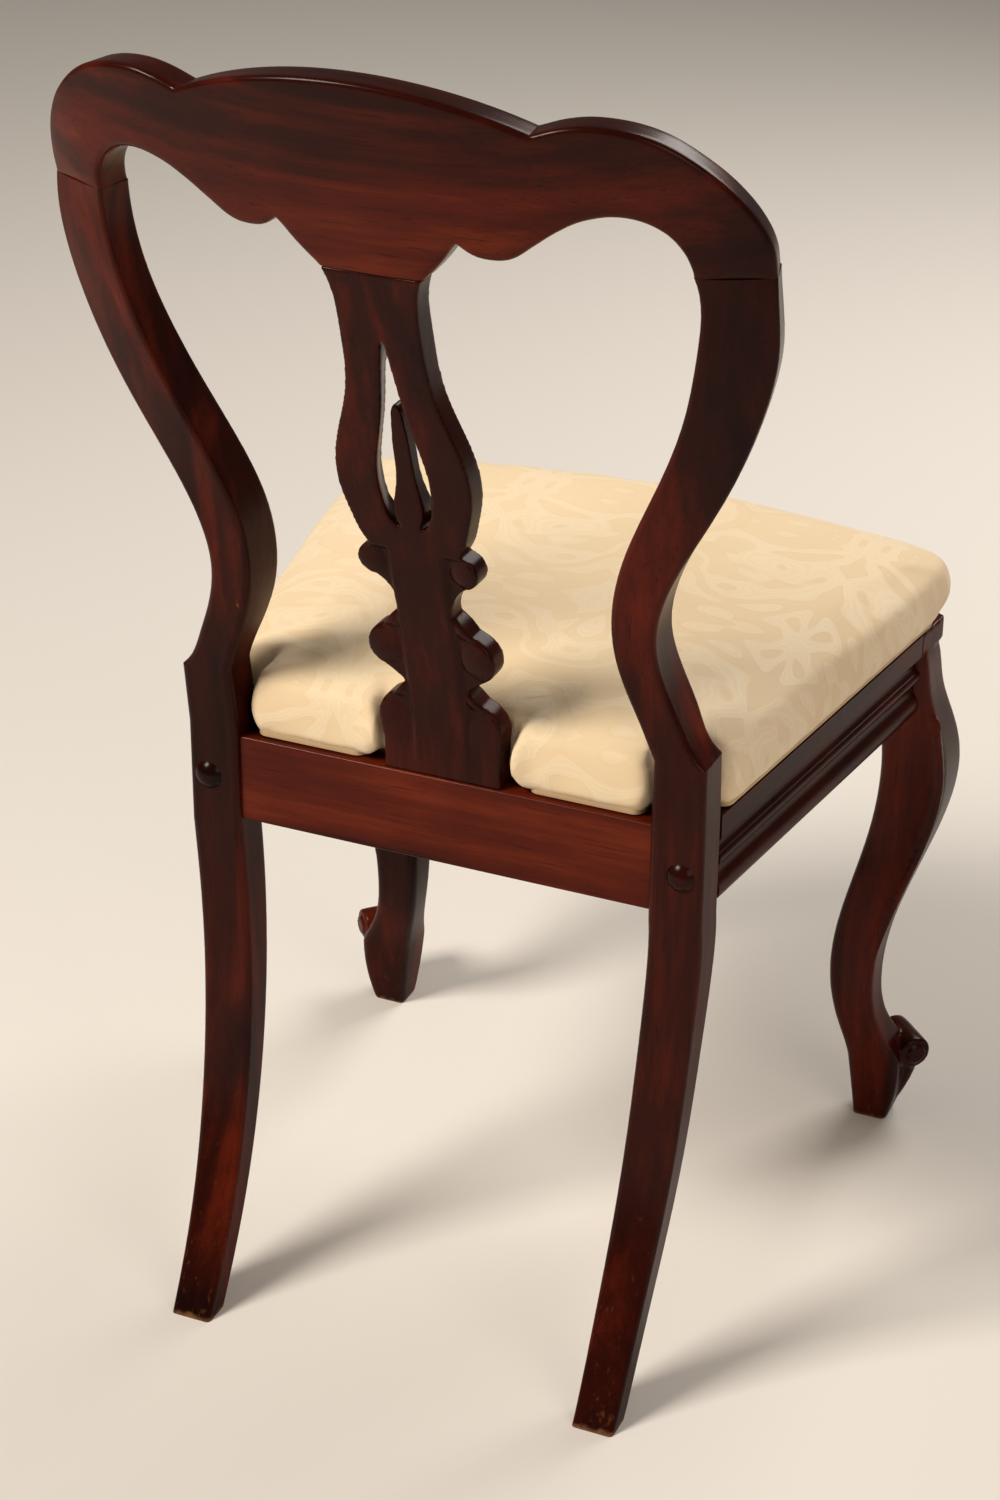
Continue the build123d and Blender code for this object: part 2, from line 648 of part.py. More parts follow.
with BuildPart() as front_seat_rail:
    with BuildSketch(Plane(origin=Vector(0, front_center_y, 0) + front_outward * front_radius,
                           x_dir=front_outward, z_dir=front_outward.cross(Vector(0, 0, 1)))):
        with BuildLine():
            rail_profile(front_rail_thickness)
        make_face()
    revolve(axis=Axis((0, front_center_y, 0), (0, 0, 1)), revolution_arc=2 * degrees(front_turn))
    with Locations((0, front_rail_y, rail_middle)):
        Box(2 * leg_inner_x, seat_depth, 2 * rail_height, mode=Mode.INTERSECT)
    for side in (1, -1):
        tenon(*front_tenon(side))
        bore(*block_screw_rod(front_end_screw, side), screw_hole)
finish(front_seat_rail, "front_seat_rail")


# ---------------------------------------------------------------- front legs
# Sections of the cabriole leg: share of the height from the floor to the cap, then how far the
# middle stands outward of the neck's along X and forward of it along Y, side of the square and its rounding.
foot_leg_sections = (
    (0.000, -0.5, 26.0, 4.0),
    (0.074, 1.5, 36.5, 5.0),
    (0.137, 0.5, 40.5, 6.0),
)
knee_leg_sections = (
    (0.137, 0.5, 40.5, 6.0),
    (0.175, -5.0, 36.0, 6.0),
    (0.228, -12.0, 32.5, 6.0),
    (0.323, -16.7, 34.0, 6.0),
    (0.422, -13.5, 37.0, 6.5),
    (0.511, -5.0, 40.5, 7.0),
    (0.603, 5.2, 45.0, 7.5),
    (0.695, 12.0, 49.0, 8.0),
    (0.774, 12.8, 49.0, 8.0),
    (0.844, 9.0, 45.5, 7.5),
    (0.918, 3.4, 41.6, 7.0),
    (1.000, 0.3, 38.0, 6.0),
)
neck_top = rail_top - fascia_height
neck_side = leg_block - cap_step
neck_x = leg_inner_x + neck_side / 2
neck_y = leg_back_y - neck_side / 2
toe_middle = Vector(neck_x + toe_reach, neck_y - toe_reach, toe_height)
across_toe = Vector(1, 1, 0).normalized()


def leg_section(share, outward, side, rounding):
    """One horizontal section of the left front leg: a rounded square on the diagonal of the corner."""
    with BuildSketch(Plane.XY.offset(neck_top * share)) as section:
        with Locations((neck_x + outward, neck_y - outward)):
            RectangleRounded(side, side, rounding)
    return section.sketch


with BuildPart() as toe_scroll:
    for radius, length in ((toe_radius, toe_length), (toe_eye_radius, toe_eye_length)):
        rod(toe_middle - across_toe * length / 2, toe_middle + across_toe * length / 2, 2 * radius)
    rims = toe_scroll.edges().filter_by(GeomType.CIRCLE)
    fillet(rims.filter_by(lambda edge: edge.radius > toe_eye_radius + 1), toe_rounding)

with BuildPart() as front_leg:
    loft([leg_section(*row) for row in foot_leg_sections])
    loft([leg_section(*row) for row in knee_leg_sections])
    add(toe_scroll.part)
    for bottom, top, step in ((rail_bottom, neck_top, cap_step), (neck_top, rail_top, 0)):
        with BuildSketch(Plane.XY.offset(bottom)) as blank:
            with BuildLine():
                Polyline((leg_inner_x, leg_back_y), (rail_face_x(leg_back_y) - step, leg_back_y),
                         (corner_x - step, front_y + step), (leg_inner_x, front_y + step), close=True)
            make_face()
            fillet(blank.vertices().sort_by(Axis.Y)[:2].sort_by(Axis.X)[-1], leg_neck_rounding)
        extrude(amount=top - bottom)
    tenon(*side_tenon, mode=Mode.SUBTRACT)
    tenon(*front_tenon(1), mode=Mode.SUBTRACT)
finish_pair(front_leg, "front_leg")


# ---------------------------------------------------------------- corner blocks and screws
block_outlines = {
    "rear": ((post_inner_x - corner_block_end, rear_rail_front_y), (post_inner_x, rear_rail_front_y),
             (post_inner_x, post_front_y), (side_inner_x(post_front_y), post_front_y),
             (side_inner_x(post_front_y - corner_block_side), post_front_y - corner_block_side)),
    "front": ((side_inner_x(leg_back_y + corner_block_side), leg_back_y + corner_block_side),
              (side_inner_x(leg_back_y), leg_back_y), (leg_inner_x, leg_back_y),
              (leg_inner_x, front_rail_y), (leg_inner_x - corner_block_end, front_rail_y)),
}
for place, corner_screws in block_screws.items():
    with BuildPart() as corner_block:
        with BuildSketch(Plane.XY.offset(block_top_z - corner_block_height)):
            with BuildLine():
                Polyline(*block_outlines[place], close=True)
            make_face()
            with Locations((0, front_center_y)):
                Circle(front_radius - front_rail_thickness, mode=Mode.INTERSECT)
        extrude(amount=corner_block_height)
        for screw_place in corner_screws:
            start, end = block_screw_rod(screw_place, 1)
            outward = (end - start).normalized()
            bore(start, end, screw_hole)
            rod(start - outward * screw_recess, start, screw_head_hole, mode=Mode.SUBTRACT)
        start, end = seat_screw_rod(place)
        bore(start, end, screw_hole)
        rod(start - Vector(0, 0, screw_recess), start, screw_head_hole, mode=Mode.SUBTRACT)
    finish_pair(corner_block, f"{place}_corner_block")


def screw(start, end):
    """A screw from under its head to its tip."""
    back = (Vector(*start) - Vector(*end)).normalized() * screw_head_height
    rod(start, end, screw_diameter)
    rod(Vector(*start) + back, start, screw_head_diameter)


for place, corner_screws in block_screws.items():
    for number, screw_place in enumerate(corner_screws, start=1):
        with BuildPart() as block_screw:
            screw(*block_screw_rod(screw_place, 1))
        finish_pair(block_screw, f"{place}_block_screw_{number}")
    with BuildPart() as seat_screw:
        screw(*seat_screw_rod(place))
    finish_pair(seat_screw, f"{place}_seat_screw")


# ---------------------------------------------------------------- dowels
for number, offset in enumerate(crest_dowel_offsets, start=1):
    with BuildPart() as crest_dowel_pin:
        rod(*crest_dowel(offset, 1), dowel_diameter)
    finish_pair(crest_dowel_pin, f"crest_dowel_{number}")

for number, rise in enumerate(side_dowel_rises, start=1):
    with BuildPart() as side_dowel_pin:
        rod(*side_dowel(rise), dowel_diameter)
    finish_pair(side_dowel_pin, f"side_rail_dowel_{number}")


# ---------------------------------------------------------------- rail bolts, barrel nuts and caps
with BuildPart() as rail_bolt:
    rod((bolt_x, bolt_seat_y, rail_middle), (bolt_x, bolt_tip_y, rail_middle), bolt_diameter)
    rod((bolt_x, bolt_seat_y, rail_middle), (bolt_x, bolt_head_y, rail_middle), bolt_head_diameter)
finish_pair(rail_bolt, "rail_bolt")

with BuildPart() as barrel_nut:
    rod((nut_outer_x - nut_length, nut_y, rail_middle), (nut_outer_x, nut_y, rail_middle), nut_diameter)
    rod((bolt_x, nut_y + nut_diameter, rail_middle), (bolt_x, nut_y - nut_diameter, rail_middle),
        bolt_diameter + 2 * hole_gap, mode=Mode.SUBTRACT)
finish_pair(barrel_nut, "barrel_nut")

with BuildPart() as bolt_cap:
    stem_radius = bolt_counterbore / 2 - cap_fit
    with BuildSketch(Plane.XY.offset(rail_middle)):
        with BuildLine():
            Polyline((bolt_x + cap_diameter / 2, post_back_y), (bolt_x + stem_radius, post_back_y),
                     (bolt_x + stem_radius, bolt_head_y + cap_fit), (bolt_x, bolt_head_y + cap_fit),
                     (bolt_x, post_back_y + cap_dome))
            RadiusArc((bolt_x, post_back_y + cap_dome), (bolt_x + cap_diameter / 2, post_back_y),
                      (cap_diameter**2 / 4 + cap_dome**2) / (2 * cap_dome))
        make_face()
    revolve(axis=Axis((bolt_x, 0, rail_middle), (0, 1, 0)))
finish_pair(bolt_cap, "bolt_cap")


# ---------------------------------------------------------------- seat pad
def pad_outline(z, inset, notched=True):
    """Horizontal section of the pad at a height, drawn in by an inset from its widest line.

    The sides are straight beside the rails and the front is one arc. Notches clear the posts and the splat.
    """
    lean = inset / cos(splay)
    rear_y = rail_back_y - pad_set_back - inset
    notch_y = post_front_y - notch_clearance - inset
    notch_x = post_inner_x - notch_clearance - inset
    splat_notch_x = splat_foot / 2 + splat_notch_margin + inset
    rounding = min(pad_notch_radius, 0.4 * (notch_x - splat_notch_x)) if notched else pad_notch_radius
    splat_notch_y = splat_back_y - splat_thickness - notch_clearance - inset
    side_y = front_y + pad_front_set_back + inset
    front = front_rail_y - front_rail_bow - pad_front_overhang + inset

    def edge_x(y):
        return rail_face_x(y) + pad_overhang - lean

    with BuildSketch(Plane.XY.offset(z)) as outline:
        with BuildLine():
            ThreePointArc((-edge_x(side_y), side_y), (0, front), (edge_x(side_y), side_y))
            if notched:
                half = [(edge_x(side_y), side_y), (edge_x(notch_y), notch_y), (notch_x, notch_y),
                        (notch_x, rear_y), (splat_notch_x, rear_y), (splat_notch_x, splat_notch_y)]
            else:
                half = [(edge_x(side_y), side_y), (edge_x(rear_y), rear_y)]
            Polyline(*half, *[(-x, y) for x, y in reversed(half)])
        make_face()
        fillet(outline.vertices().group_by(Axis.Y)[0], pad_corner_radius)
        fillet(outline.vertices().filter_by(lambda corner: corner.Y > 0), rounding)
    return outline.sketch


# Drawn-in sides and crowned top: share of the pad's height, then inset
pad_sides = ((0.0, 5.0), (0.24, 0.8), (0.52, 0.5), (0.78, 4.5), (1.03, 13.0))
pad_crown = ((-0.05, -20.0), (0.66, -6.0), (0.75, 3.0), (0.82, 11.0), (0.88, 22.0), (0.93, 38.0),
             (0.97, 62.0), (0.992, 92.0), (1.0, 120.0))


def stuffed(skin):
    """The stuffed shape of the pad, a skin's thickness inside its outside."""
    bottom = rail_top + skin
    height = pad_height - 2 * skin
    with BuildPart() as shape:
        loft([pad_outline(bottom + height * share, inset + skin) for share, inset in pad_sides])
        loft([pad_outline(bottom + height * share, inset + skin, notched=False)
              for share, inset in pad_crown], ruled=True, mode=Mode.INTERSECT)
    return shape.part


with BuildPart() as seat_board:
    add(pad_outline(board_bottom, board_inset))
    extrude(amount=board_thickness)
    for side in (1, -1):
        for place in seat_screw_places:
            bore(*seat_screw_rod(place, side), screw_hole)
finish(seat_board, "seat_board")

with BuildPart() as seat_foam:
    add(stuffed(cover_thickness + foam_skin))
    add(pad_outline(board_bottom, board_inset - foam_skin))
    extrude(amount=board_thickness, mode=Mode.SUBTRACT)
finish(seat_foam, "seat_foam")

with BuildPart() as seat_cover:
    add(stuffed(0))
    add(stuffed(cover_thickness), mode=Mode.SUBTRACT)
    add(pad_outline(rail_top, pad_sides[0][1] + cover_return))
    extrude(amount=cover_thickness, mode=Mode.SUBTRACT)
    for side in (1, -1):
        for place in seat_screw_places:
            bore(*seat_screw_rod(place, side), screw_hole)
finish(seat_cover, "seat_cover")
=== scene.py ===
# %% [markdown]
# # A balloon back dining chair
# The frame below brings in the joiner's parts: posts, crest, splat, rails, legs, blocks, dowels and screws.
# This notebook dresses them. The mahogany is polished until it is almost black in the hollows and glows red
# where light gets into it, and the seat is covered in an ivory damask whose leaves are hardly lighter than
# its ground.

import math

import bpy
import numpy as np
from mathutils import Matrix, Vector
from mathutils.geometry import delaunay_2d_cdt


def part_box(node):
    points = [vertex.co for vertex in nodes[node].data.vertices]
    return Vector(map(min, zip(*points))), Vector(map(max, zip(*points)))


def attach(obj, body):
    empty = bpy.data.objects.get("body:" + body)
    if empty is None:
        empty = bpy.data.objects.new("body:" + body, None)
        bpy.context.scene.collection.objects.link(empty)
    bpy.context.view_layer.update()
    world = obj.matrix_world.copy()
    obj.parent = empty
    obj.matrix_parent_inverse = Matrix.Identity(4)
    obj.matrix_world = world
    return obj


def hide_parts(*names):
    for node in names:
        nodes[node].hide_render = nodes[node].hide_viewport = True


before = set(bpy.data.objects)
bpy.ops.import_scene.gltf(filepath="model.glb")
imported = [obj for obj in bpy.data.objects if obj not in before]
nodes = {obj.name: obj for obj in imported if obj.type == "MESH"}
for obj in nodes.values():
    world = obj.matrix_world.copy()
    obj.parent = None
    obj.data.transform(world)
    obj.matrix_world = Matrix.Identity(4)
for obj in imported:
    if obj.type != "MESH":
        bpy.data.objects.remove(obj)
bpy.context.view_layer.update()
scene = bpy.context.scene

# %% [markdown]
# ## The camera
# The picture looks down on the chair from behind the sitter's right shoulder. The camera stands on a sphere
# round a target a little below the seat: an azimuth, an elevation and a distance say where. A small roll
# tilts it as it was held. A long lens keeps the legs nearly parallel. The focal length is given in pixels
# of the picture, and lengths are in metres here and in every cell.

# %% Camera
PICTURE = (1000, 1500)
AZIMUTH = math.radians(203.449)
ELEVATION = math.radians(27.753)
ROLL = math.radians(0.421)
DISTANCE = 2.3198
TARGET = np.array([0.01746, 0.0042, 0.3725])
FOCAL_PIXELS = 3332.6
SENSOR = 36.0


def camera_axes():
    """Right, up and back unit vectors: back points from the target to the camera, and right is level before
    right and up are turned about back by the roll."""
    flat = math.cos(ELEVATION)
    back = np.array([math.sin(AZIMUTH) * flat, -math.cos(AZIMUTH) * flat, math.sin(ELEVATION)])
    level = np.cross(-back, [0, 0, 1])
    level /= np.linalg.norm(level)
    upright = np.cross(back, level)
    right = math.cos(ROLL) * level + math.sin(ROLL) * upright
    return right, np.cross(back, right), back


def standing(x, y, z, place):
    """The matrix that turns an object's axes to x, y and z and moves it to a place."""
    matrix = np.eye(4)
    matrix[:3] = np.stack([x, y, z, place], 1)
    return Matrix(matrix.tolist())


right, up, back = camera_axes()
camera_data = bpy.data.cameras.new("camera")
camera_data.sensor_fit = "VERTICAL"
camera_data.sensor_height = SENSOR
camera_data.lens = FOCAL_PIXELS / PICTURE[1] * SENSOR
camera_data.clip_start = 0.05
camera = bpy.data.objects.new("camera", camera_data)
camera.matrix_world = standing(right, up, back, TARGET + back * DISTANCE)
scene.collection.objects.link(camera)
scene.camera = camera
print("lens", round(camera_data.lens, 2), "mm")

# %% [markdown]
# ## The studio
# A pale floor takes the chair's shadow under an even, weak sky and three soft lamps: a key from behind on
# the sitter's left, a fill from behind on the right and a window in front. The ground is pale by its
# own colour, and the lamps stay low enough for a colour to come out about as it is written.

# %% Studio
BACKDROP = (0.80, 0.76, 0.72, 1)
FLOOR_SIZE = 12.0
SKY = (1.0, 0.92, 0.84, 1)
SKY_STRENGTH = 0.15
AIM = np.array([0, 0, 0.5])


def studio_floor():
    """A square on the ground round the origin."""
    half = FLOOR_SIZE / 2
    mesh = bpy.data.meshes.new("studio_floor")
    corners = [(-half, -half, 0), (half, -half, 0), (half, half, 0), (-half, half, 0)]
    mesh.from_pydata(corners, [], [(0, 1, 2, 3)])
    floor = bpy.data.objects.new("studio_floor", mesh)
    scene.collection.objects.link(floor)
    paint = bpy.data.materials.new("studio_floor")
    paint.use_nodes = True
    shader = paint.node_tree.nodes["Principled BSDF"]
    shader.inputs["Base Color"].default_value = BACKDROP
    shader.inputs["Roughness"].default_value = 0.9
    shader.inputs["Specular IOR Level"].default_value = 0.1
    mesh.materials.append(paint)


def lamp(name, place, size, watts, tint):
    """A square area lamp at a place, turned so that its light runs along the line from there to the aim."""
    light = bpy.data.lights.new(name, "AREA")
    light.size = size
    light.energy = watts
    light.color = tint
    lamp_object = bpy.data.objects.new(name, light)
    z = np.array(place) - AIM
    z /= np.linalg.norm(z)
    x = np.cross([0, 0, 1], z)
    x /= np.linalg.norm(x)
    lamp_object.matrix_world = standing(x, np.cross(z, x), z, place)
    scene.collection.objects.link(lamp_object)


studio_floor()
world = bpy.data.worlds.new("sky")
world.use_nodes = True
world.node_tree.nodes["Background"].inputs["Color"].default_value = SKY
world.node_tree.nodes["Background"].inputs["Strength"].default_value = SKY_STRENGTH
scene.world = world
lamp("key", place=(1.5, 1.7, 2.7), size=1.0, watts=98, tint=(1, 0.93, 0.82))
lamp("fill", place=(-2.2, 1.4, 1.6), size=1.6, watts=15, tint=(1, 0.90, 0.80))
lamp("window", place=(-0.6, -2.2, 2.0), size=1.4, watts=44, tint=(1, 0.95, 0.88))
scene.view_settings.view_transform = "Standard"
print(len(bpy.data.lights), "lamps over a pale floor")

# %% [markdown]
# ## Writing shaders as sums
# A finish is easier to read as arithmetic than as a web of wires. A Signal wraps one output of a node, and
# each operator on it adds a Math node. A Finish holds one material and makes the other nodes with one
# method.

# %% Signals and finishes
class Signal:
    """One output of a shader node, a number at each point of the surface, that takes part in arithmetic."""

    def __init__(self, finish, socket):
        self.finish = finish
        self.socket = socket

    def math(self, operation, *others):
        """A Math node on this signal and the others, in that order."""
        return self.finish.node("ShaderNodeMath", {"operation": operation}, dict(enumerate((self,) + others)))

    def __add__(self, other):
        return self.math("ADD", other)

    def __sub__(self, other):
        return self.math("SUBTRACT", other)

    def __mul__(self, other):
        return self.math("MULTIPLY", other)

    __radd__ = __add__
    __rmul__ = __mul__

    def __rsub__(self, other):
        return self * -1 + other

    def step(self, low, high):
        """0 below low, 1 above high and smooth between them; the other way round if low is above high."""
        bottom, top = sorted((low, high))
        rise = self.finish.node("ShaderNodeMapRange", {"interpolation_type": "SMOOTHSTEP"},
                                {"Value": self, "From Min": bottom, "From Max": top})
        return rise if low < high else 1 - rise


class Finish:
    """A material whose nodes are made here. Constants go straight onto the shader's own sockets."""

    def __init__(self, name, **constants):
        self.material = bpy.data.materials.new(name)
        self.material.use_nodes = True
        self.tree = self.material.node_tree
        self.shader = self.tree.nodes["Principled BSDF"]
        for socket, value in constants.items():
            self.shader.inputs[socket.replace("_", " ")].default_value = value

    def node(self, kind, settings=None, inputs=None, output=0):
        """A node of a kind, with its settings made first and then its sockets filled or linked."""
        node = self.tree.nodes.new(kind)
        for name, value in (settings or {}).items():
            setattr(node, name, value)
        for key, value in (inputs or {}).items():
            if isinstance(value, Signal):
                self.tree.links.new(value.socket, node.inputs[key])
            else:
                node.inputs[key].default_value = value
        return Signal(self, node.outputs[output])

    def ramp(self, signal, *stops):
        """A colour for each value of a signal, from stops of a position and a colour."""
        node = self.tree.nodes.new("ShaderNodeValToRGB")
        elements = node.color_ramp.elements
        while len(elements) < len(stops):
            elements.new(0.5)
        for element, (position, colour) in zip(elements, stops):
            element.position = position
            element.color = (*colour, 1)
        self.tree.links.new(signal.socket, node.inputs["Fac"])
        return Signal(self, node.outputs["Color"])

    def mix(self, factor, first, second):
        """The second colour laid over the first by a factor."""
        return self.node("ShaderNodeMix", {"data_type": "RGBA"}, {0: factor, 6: first, 7: second}, output=2)

    def place(self, scale=(1, 1, 1), shift=(0, 0, 0)):
        """Object coordinates in metres, stretched and shifted by a Mapping node."""
        coordinates = self.tree.nodes.new("ShaderNodeTexCoord")
        return self.node("ShaderNodeMapping", {}, {"Vector": Signal(self, coordinates.outputs["Object"]),
                                                   "Scale": scale, "Location": shift})

    def noise(self, vector, scale, detail=4.0, roughness=0.55, distortion=0.0):
        """Fractal noise from 0 to 1."""
        return self.node("ShaderNodeTexNoise", {}, {"Vector": vector, "Scale": scale, "Detail": detail,
                                                    "Roughness": roughness, "Distortion": distortion})

    def axes(self, vector):
        """The three parts of a vector as signals."""
        split = self.tree.nodes.new("ShaderNodeSeparateXYZ")
        self.tree.links.new(vector.socket, split.inputs[0])
        return [Signal(self, output) for output in split.outputs]

    def wear(self, **signals):
        """Link signals to the shader's sockets."""
        for socket, value in signals.items():
            self.tree.links.new(value.socket, self.shader.inputs[socket.replace("_", " ")])
        return self

    def bump(self, height, strength, distance):
        """A Bump node on the shader's Normal."""
        inputs = {"Height": height, "Strength": strength, "Distance": distance}
        return self.wear(Normal=self.node("ShaderNodeBump", {}, inputs))


print("Signal and Finish are ready")

# %% [markdown]
# ## Polished mahogany
# The wood is nearly black-brown in its dark figure and deep red where the light goes in, with streaks that
# run along each piece. French polish gives a clear, slightly uneven gloss: here it is a thin coat over the
# wood. Noise stretched along the grain makes the figure, a finer one the pores and the scratches, and a
# broad one that is not stretched makes whole places of a piece warmer or darker. Each piece has its own
# shift through the noise, as each was sawn from another plank. Each piece's figure is also shifted lighter
# or darker as a whole, partly as its own tone and partly as painted light: the rear rail and the crest,
# which catch the light, are painted lightest.

# %% Mahogany
DARK = (0.0085, 0.0012, 0.0006)
BODY = (0.0300, 0.0033, 0.0012)
GLOW = (0.0900, 0.0095, 0.0026)
STREAK = (0.2300, 0.0340, 0.0075)
SCUFF = (0.1400, 0.0420, 0.0150)
BARE = (0.2400, 0.1100, 0.0520)
FIGURE_ALONG = 0.07
PORE_ALONG = 0.0245
KNOCK_ALONG = 0.22
POLISH = 0.19


def grain_scale(axis, along=FIGURE_ALONG):
    """The scale of a pattern along X, Y and Z: a small one along the grain draws the pattern out."""
    return tuple(along if name == axis else 1 for name in "XYZ")


def mahogany(name, axis, tone_and_painted_light=0.0, shift=(0, 0, 0), foot=0.0, worn=0.0):
    """Polished mahogany with its grain along an axis.

    The figure is the sum of a wide noise, a fine one and a patchy one, and a ramp turns it into colour.
    Knocks are short scratches along the grain. Below the height foot the polish is kicked away: the noise has
    to pass a lower and lower bar toward the floor, and the last few millimetres are bare."""
    wood = Finish(name, Coat_Roughness=0.19, Coat_IOR=1.5, Specular_IOR_Level=0.02)
    along = wood.place(grain_scale(axis), shift)
    even = wood.place(shift=shift)
    wide = wood.noise(along, 15, detail=3, distortion=0.8)
    fine = wood.noise(along, 95, detail=5, roughness=0.65)
    pores = wood.noise(wood.place(grain_scale(axis, PORE_ALONG), shift), 900, detail=2)
    knocks = wood.noise(wood.place(grain_scale(axis, KNOCK_ALONG), shift), 210, detail=3, roughness=0.6)
    patches = wood.noise(even, 6, detail=3, roughness=0.6)
    smear = wood.noise(even, 24, detail=4)
    # The piece's shift lightens or darkens its whole figure: partly its own tone, partly painted light and
    # shade.
    figure = wide * 0.66 + fine * 0.28 + patches * 0.30 + (tone_and_painted_light - 0.12)
    colour = wood.ramp(figure, (0.34, DARK), (0.50, BODY), (0.64, GLOW), (0.82, STREAK))
    colour = wood.mix(pores.step(0.58, 0.72) * 0.6, colour, (*DARK, 1))
    rubbed = knocks.step(0.70, 0.78) * patches.step(0.52, 0.66) * worn
    if foot:
        height = wood.axes(wood.place())[2]
        rubbed = rubbed + (knocks + height.step(foot, 0.0) * 0.12).step(0.70, 0.84) * 0.45
    rubbed = rubbed.math("MINIMUM", 1.0)
    colour = wood.mix(rubbed, colour, (*SCUFF, 1))
    dull = rubbed
    if foot:
        bare = (wood.noise(even, 130, detail=4) * 0.008 - 0.001 - height).step(-0.001, 0.003)
        colour = wood.mix(bare * 0.7, colour, (*BARE, 1))
        dull = (rubbed + bare).math("MINIMUM", 1.0)
    roughness = smear * 0.16 + 0.22 + dull * 0.35
    wood.wear(Base_Color=colour, Roughness=roughness, Coat_Weight=POLISH - dull * 0.17)
    wood.bump(fine * 0.35 + pores * 0.45 + smear * 0.25 - knocks.step(0.66, 0.80) * 0.5, 0.14, 0.0006)
    return wood.material


def dress(start, material):
    """Give the parts whose names start in some way a material in place of the one they came with."""
    names = [name for name in nodes if name.startswith(start)]
    for name in names:
        mesh = nodes[name].data
        mesh.materials.clear()
        mesh.materials.append(material)
    print(material.name, "on", len(names), "parts")


# The shift each piece gets here is partly its own tone and partly painted light: the rear rail and the crest,
# which catch the light, are made the lightest.
crest_wood = mahogany("mahogany_crest", "X", tone_and_painted_light=0.05, shift=(0, 0.4, 0.2), worn=0.7)
leg_wood = mahogany("mahogany_legs", "Z", shift=(0.3, 0.1, 0), foot=0.10, worn=0.6)
splat_wood = mahogany("mahogany_splat", "Z", tone_and_painted_light=-0.03, shift=(0.7, 0, 0), worn=0.3)
dress("rear_post", mahogany("mahogany_posts", "Z", tone_and_painted_light=0.01, foot=0.20, worn=0.8))
dress("rear_seat_rail", mahogany("mahogany_rear_rail", "X", tone_and_painted_light=0.08, shift=(0, 0.2, 0.5), worn=0.8))
dress("front_seat_rail", mahogany("mahogany_front_rail", "X", tone_and_painted_light=0.03, shift=(0.2, 0.6, 0.5), worn=0.4))
dress(("side_rail_left", "side_rail_right"),
      mahogany("mahogany_side_rails", "Y", shift=(0.1, 0.3, 0.9), worn=0.4))
dress("bolt_cap", mahogany("mahogany_caps", "Y", tone_and_painted_light=-0.06))

# %% [markdown]
# ## Bare wood and steel
# What nobody looks at is left plain: beech corner blocks and dowels, a birch plywood board, and steel
# screws, bolts and nuts. Sanded wood is the same stretched noise as the mahogany's, without the polish.

# %% Beech, plywood and steel
def bare_wood(name, pale, dark, scale):
    """Sanded wood along X: a ramp between a pale and a darker tone over stretched noise."""
    wood = Finish(name)
    along = wood.place(grain_scale("X"))
    figure = wood.noise(along, scale, detail=5)
    fleck = wood.noise(along, scale * 9, detail=2)
    colour = wood.ramp(figure * 0.7 + fleck * 0.3, (0.3, dark), (0.7, pale))
    wood.wear(Base_Color=colour, Roughness=fleck * 0.2 + 0.55)
    wood.bump(figure + fleck, 0.15, 0.0004)
    return wood.material


def steel():
    """Plain zinc-grey steel whose roughness and small marks are a fine noise."""
    metal = Finish("screw_steel", Metallic=1.0, Base_Color=(0.42, 0.41, 0.40, 1))
    marks = metal.noise(metal.place(), 700, detail=3)
    metal.wear(Roughness=marks * 0.25 + 0.25)
    metal.bump(marks, 0.1, 0.0002)
    return metal.material


dress(("front_corner_block", "rear_corner_block", "side_rail_dowel", "crest_dowel"),
      bare_wood("beech", (0.62, 0.40, 0.22), (0.42, 0.23, 0.11), 40))
dress("seat_board", bare_wood("plywood", (0.66, 0.47, 0.27), (0.50, 0.32, 0.17), 22))
screws = ("front_block_screw", "rear_block_screw", "front_seat_screw", "rear_seat_screw")
dress(screws + ("rail_bolt", "barrel_nut"), steel())

# %% [markdown]
# ## Meshes from arrays
# Carved and stuffed pieces are computed as arrays of points, one row each, and handed to Blender at the
# end. These helpers go from a mesh to arrays and back. Two more do what sandpaper does: one eases a step,
# and one evens out values over a mesh.

# %% Meshes from arrays
CREASE = math.radians(40)


def points_of(mesh):
    """The mesh's points as an array of one row each."""
    flat = np.empty(len(mesh.vertices) * 3)
    mesh.vertices.foreach_get("co", flat)
    return flat.reshape(-1, 3)


def triangles_of(mesh):
    """The mesh's triangles as an array of one row each."""
    mesh.calc_loop_triangles()
    flat = np.empty(len(mesh.loop_triangles) * 3, np.int32)
    mesh.loop_triangles.foreach_get("vertices", flat)
    return flat.reshape(-1, 3)


def shade_smooth(mesh):
    """Shade the mesh's faces as one rounded surface."""
    mesh.polygons.foreach_set("use_smooth", [True] * len(mesh.polygons))


def new_piece(name, points, faces):
    """A smooth piece at the origin from an array of points and a list of faces, sharp at its creases."""
    mesh = bpy.data.meshes.new(name)
    mesh.from_pydata(points.tolist(), [], faces)
    mesh.validate()
    shade_smooth(mesh)
    mesh.set_sharp_from_angle(angle=CREASE)
    piece = bpy.data.objects.new(name, mesh)
    scene.collection.objects.link(piece)
    return piece


def apply_modifiers(piece):
    """Make the piece's modifiers part of its mesh."""
    bpy.context.view_layer.update()
    old = piece.data
    piece.data = bpy.data.meshes.new_from_object(piece.evaluated_get(bpy.context.evaluated_depsgraph_get()))
    piece.modifiers.clear()
    bpy.data.meshes.remove(old)


def put_back(points, mesh):
    """Write an array of points into the mesh."""
    mesh.vertices.foreach_set("co", points.ravel())


def ease(values, low, high):
    """0 below low, 1 above high, and smooth between them."""
    t = np.clip((values - low) / (high - low), 0, 1)
    return t * t * (3 - 2 * t)


